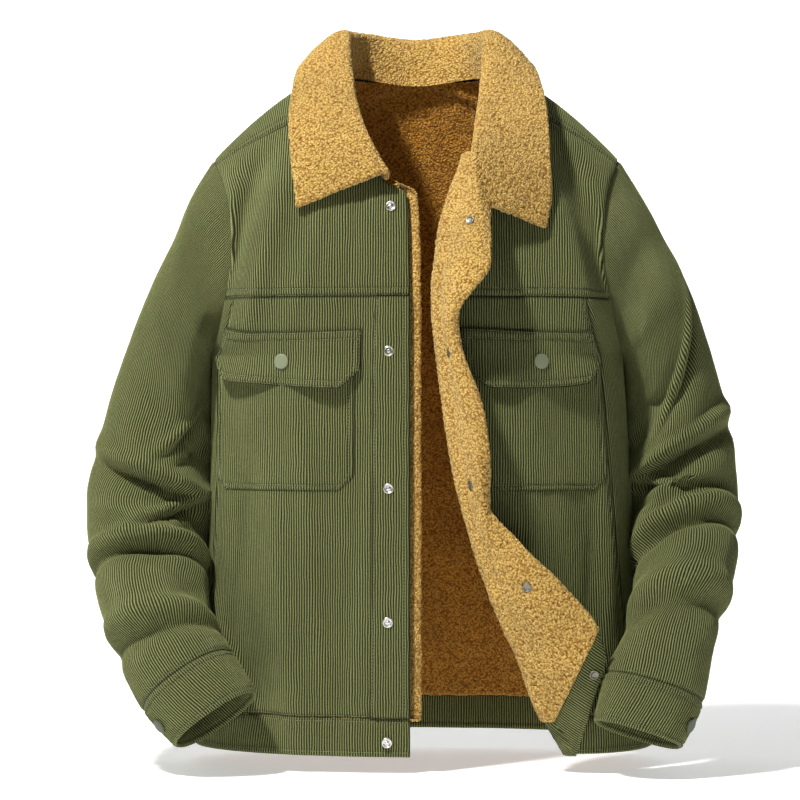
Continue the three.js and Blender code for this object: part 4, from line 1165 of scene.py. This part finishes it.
# Collar: pile on the side that shows, corduroy underneath, sewn round the neck, rolled over and
# falling to two pointed leaves.
collar_rows = table(
    "u nx ny nz rx ry rz ex ey ez reach",
    [0.00, -32, -107, -79, -34, -115, -73, -123, -108, -107, 5],
    [0.07, -47, -97, -59, -46, -109, -53, -125, -106, -82, 8],
    [0.14, -60, -80, -35, -61, -91, -22, -129, -97, -50, 10],
    [0.21, -69, -58, -5, -71, -64, 12, -131, -80, -16, 11],
    [0.28, -75, -36, 19, -75, -38, 43, -129, -52, 14, 12], [0.36, -81, -4, 46, -77, 4, 84, -120, 0, 47, 12],
    [0.43, -61, 41, 48, -51, 59, 86, -90, 71, 25, 12], [0.50, 0, 60, 43, 0, 79, 82, 0, 104, 6, 12],
    [0.57, 61, 41, 48, 51, 59, 86, 90, 71, 25, 12], [0.64, 81, -4, 46, 77, 4, 84, 119, 0, 48, 12],
    [0.72, 76, -36, 19, 76, -38, 45, 131, -50, 16, 12], [0.79, 72, -60, -5, 72, -66, 12, 135, -78, -18, 11],
    [0.86, 68, -84, -33, 67, -96, -22, 136, -97, -56, 10],
    [0.93, 70, -110, -64, 60, -129, -62, 137, -106, -91, 7],
    [1.00, 68, -127, -101, 64, -141, -105, 132, -111, -128, 4])
collar_lines = {key: smooth_line(collar_rows["u"], collar_rows[key]) for key in collar_rows if key != "u"}


def collar(u, v):
    """A point of the collar: u round the neck from the right front, v from its seam to its edge."""
    u, v = np.broadcast_arrays(np.asarray(u, float), np.asarray(v, float))
    seam, top, edge = (np.stack([collar_lines[letter + axis](u) for axis in "xyz"], axis=-1)
                       for letter in "nre")
    reach = collar_lines["reach"](u)[..., None]
    out = edge - top
    out[..., 2] = 0
    out = unit(out)
    w = np.clip(v / 0.35, 0, 1)[..., None]
    stand = seam * (1 - w) ** 2 + (top - out * reach * 0.7) * 2 * w * (1 - w) + top * w * w
    w = np.clip((v - 0.35) / 0.65, 0, 1)[..., None]
    fall = top * (1 - w) ** 2 + (top + out * reach * 1.35) * 2 * w * (1 - w) + edge * w * w
    return np.where((v < 0.35)[..., None], stand, fall)


def collar_normal(u, v):
    u, v = np.clip(u, 0.002, 0.998), np.clip(v, 0.002, 0.998)
    return unit(np.cross(collar(u + 1e-3, v) - collar(u - 1e-3, v),
                         collar(u, v + 1e-3) - collar(u, v - 1e-3)))


COLLAR_FOOT = 12         # how far the collar reaches down inside the neck seam


def collar_grid(spacing, long=640.0, deep=150.0):
    u = np.linspace(0, 1, int(long / spacing))[None, :]
    v = np.linspace(0, 1, int(deep / spacing))[:, None]
    u, v = np.broadcast_arrays(u, v)
    base = collar(u, v)
    step = np.linalg.norm(np.diff(base, axis=1), axis=2)
    w = np.concatenate([np.zeros((base.shape[0], 1)), np.cumsum(step, axis=1)], axis=1)
    w = w - w[:, w.shape[1] // 2][:, None]
    d = np.concatenate([np.zeros((1, base.shape[1])),
                        np.cumsum(np.linalg.norm(np.diff(base, axis=0), axis=2), axis=0)], axis=0)
    return u, v, base, collar_normal(u, v), w, d


u, v, base, normal, w, d = collar_grid(1.35)
foot = COLLAR_FOOT * (np.clip(np.sin(np.pi * u[:1]), 0.5, 1) - 0.5) / 0.5
for step_down in range(3):
    down = base[:1] + unit(collar(u[:1], 0.0) - collar(u[:1], 0.02)) * (foot * 0.34)[..., None]
    base, normal = np.concatenate([down, base]), np.concatenate([normal[:1], normal])
    w, d = np.concatenate([w[:1], w]), np.concatenate([d[:1] - foot * 0.34 - 0.01, d])
outs = {"l": unit(base[:, 0] - base[:, 3]), "r": unit(base[:, -1] - base[:, -4]),
        "t": unit(base[-1] - base[-4])}
part = pile_part(base, normal, w, d, outs, 3.0, -2.4, 16)
part["flat"] = cut_size(base)
sew("collar_pile", "collar", [part], golden_pile)

u, v, base, normal, w, d = collar_grid(4.0)
part = {"points": turned_under(base - normal * 3.3, -normal, 1.2, "lrt", w, d), "outward": -normal[4, 40]}
part["points"], part["across"], part["along"] = part["points"]
part["flat"] = cut_size(base)
sew("under_collar_cloth", None, [part], olive_corduroy)


# Snap fasteners: silver ring studs on the right front's edge, painted caps on the pocket flaps and
# cuffs, and the snaps' caps and sockets through the left front. All are turned from sheet metal.
def metal(name, colour, metallic, roughness, wear):
    """Turned metal, bare or painted, with fine scratches and a little unevenness."""
    material = bpy.data.materials.new(name)
    material.use_nodes = True
    add, link, shader = node_maker(material)
    place = add("ShaderNodeTexCoord")
    grain = add("ShaderNodeTexNoise", Scale=1400.0, Detail=3.0)
    link(place.outputs["Object"], grain.inputs["Vector"])
    rough = spread(add, 0.0, 1.0, roughness - 0.08, roughness + 0.12)
    link(grain.outputs["Fac"], rough.inputs["Value"])
    link(rough.outputs[0], shader.inputs["Roughness"])
    tone = add("ShaderNodeMix", data_type="RGBA")
    tone.inputs[6].default_value = colour
    tone.inputs[7].default_value = tuple(channel * wear for channel in colour[:3]) + (1,)
    link(grain.outputs["Fac"], tone.inputs[0])
    link(tone.outputs[2], shader.inputs["Base Color"])
    bump = add("ShaderNodeBump", Strength=0.15, Distance=0.0001)
    link(grain.outputs["Fac"], bump.inputs["Height"])
    link(bump.outputs[0], shader.inputs["Normal"])
    shader.inputs["Metallic"].default_value = metallic
    return material


silver = metal("silver", (0.86, 0.86, 0.84, 1), 1.0, 0.28, 0.8)
dull_nickel = metal("dull nickel", (0.30, 0.28, 0.23, 1), 1.0, 0.42, 0.8)
sage_paint = metal("sage paint", (0.25, 0.285, 0.17, 1), 0.0, 0.42, 0.9)
dark_paint = metal("dark green paint", (0.05, 0.07, 0.025, 1), 0.0, 0.4, 0.85)


def turned(name, node, place, direction, lift, profile, material):
    """A disc turned from its profile of radius and height, in millimetres, standing on the cloth."""
    shape = bmesh.new()
    rim = [shape.verts.new((radius, 0, height)) for radius, height in profile]
    edges = [shape.edges.new(pair) for pair in zip(rim, rim[1:])]
    bmesh.ops.spin(shape, geom=rim + edges, axis=(0, 0, 1), cent=(0, 0, 0), angle=2 * math.pi, steps=48,
                   use_merge=True)
    bmesh.ops.remove_doubles(shape, verts=shape.verts, dist=1e-4)
    bmesh.ops.recalc_face_normals(shape, faces=shape.faces)
    turn = Vector((0, 0, 1)).rotation_difference(Vector(direction)).to_matrix().to_4x4()
    spot = Vector(place) + Vector(direction) * lift
    bmesh.ops.transform(shape, matrix=Matrix.Scale(0.001, 4) @ Matrix.Translation(spot) @ turn,
                        verts=shape.verts)
    mesh = bpy.data.meshes.new(name)
    shape.to_mesh(mesh)
    shape.free()
    mesh.shade_smooth()
    mesh.materials.append(material)
    piece = bpy.data.objects.new(name, mesh)
    bpy.context.scene.collection.objects.link(piece)
    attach(piece, "root")
    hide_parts(node)


stud_profile = [(0, 0), (5.2, 0), (5.45, 0.3), (5.45, 1.1), (5.2, 1.6), (4.7, 1.9), (4.1, 1.8), (3.7, 1.35),
                (3.5, 0.8), (2.2, 0.75), (2.0, 1.0), (1.7, 1.5), (1.1, 1.75), (0, 1.8)]
cap_profile = [(0, 0), (7.6, 0), (8.0, 0.35), (8.0, 0.9), (7.75, 1.3), (7.2, 1.6), (5.5, 1.85),
               (2.5, 2.0), (0, 2.05)]
flat_cap_profile = [(0, 0), (5.8, 0), (6.0, 0.4), (5.9, 0.9), (5.2, 1.35), (3, 1.6), (0, 1.65)]
socket_profile = [(0, 0), (4.8, 0), (5.0, 0.4), (4.8, 1.0), (4.2, 1.2), (3.4, 1.0), (3.0, 0.5),
                  (2.0, 0.4), (0, 0.4)]
for row, name in enumerate(snap_names):
    t, stud_s, stud_lift, socket_s, cap_lift, socket_lift = (column[row] for column in snaps.values())
    turned(f"{name}_stud_ring", f"{name}_stud", body("right", t, stud_s), body_normal("right", t, stud_s),
           stud_lift, stud_profile, silver)
    out = body_normal("left", t, socket_s)
    turned(f"{name}_cap_disc", f"{name}_cap", body("left", t, socket_s), out, cap_lift, flat_cap_profile,
           sage_paint)
    turned(f"{name}_socket_ring", f"{name}_socket", body("left", t, socket_s), -out, socket_lift,
           socket_profile, dull_nickel)
for side, t, s in (("right", 0.49, 0.39), ("left", 0.49, 0.29)):
    turned(f"{side}_pocket_cap_disc", f"{side}_pocket_cap", body(side, t, s), body_normal(side, t, s),
           CORDUROY + 4.7, cap_profile, sage_paint)
for side in ("right", "left"):
    turned(f"{side}_cuff_cap_disc", f"{side}_cuff_cap", sleeve(side, 0.962, 28.0),
           sleeve_normal(side, 0.962, 28.0), CORDUROY + 0.9, cap_profile, dark_paint)
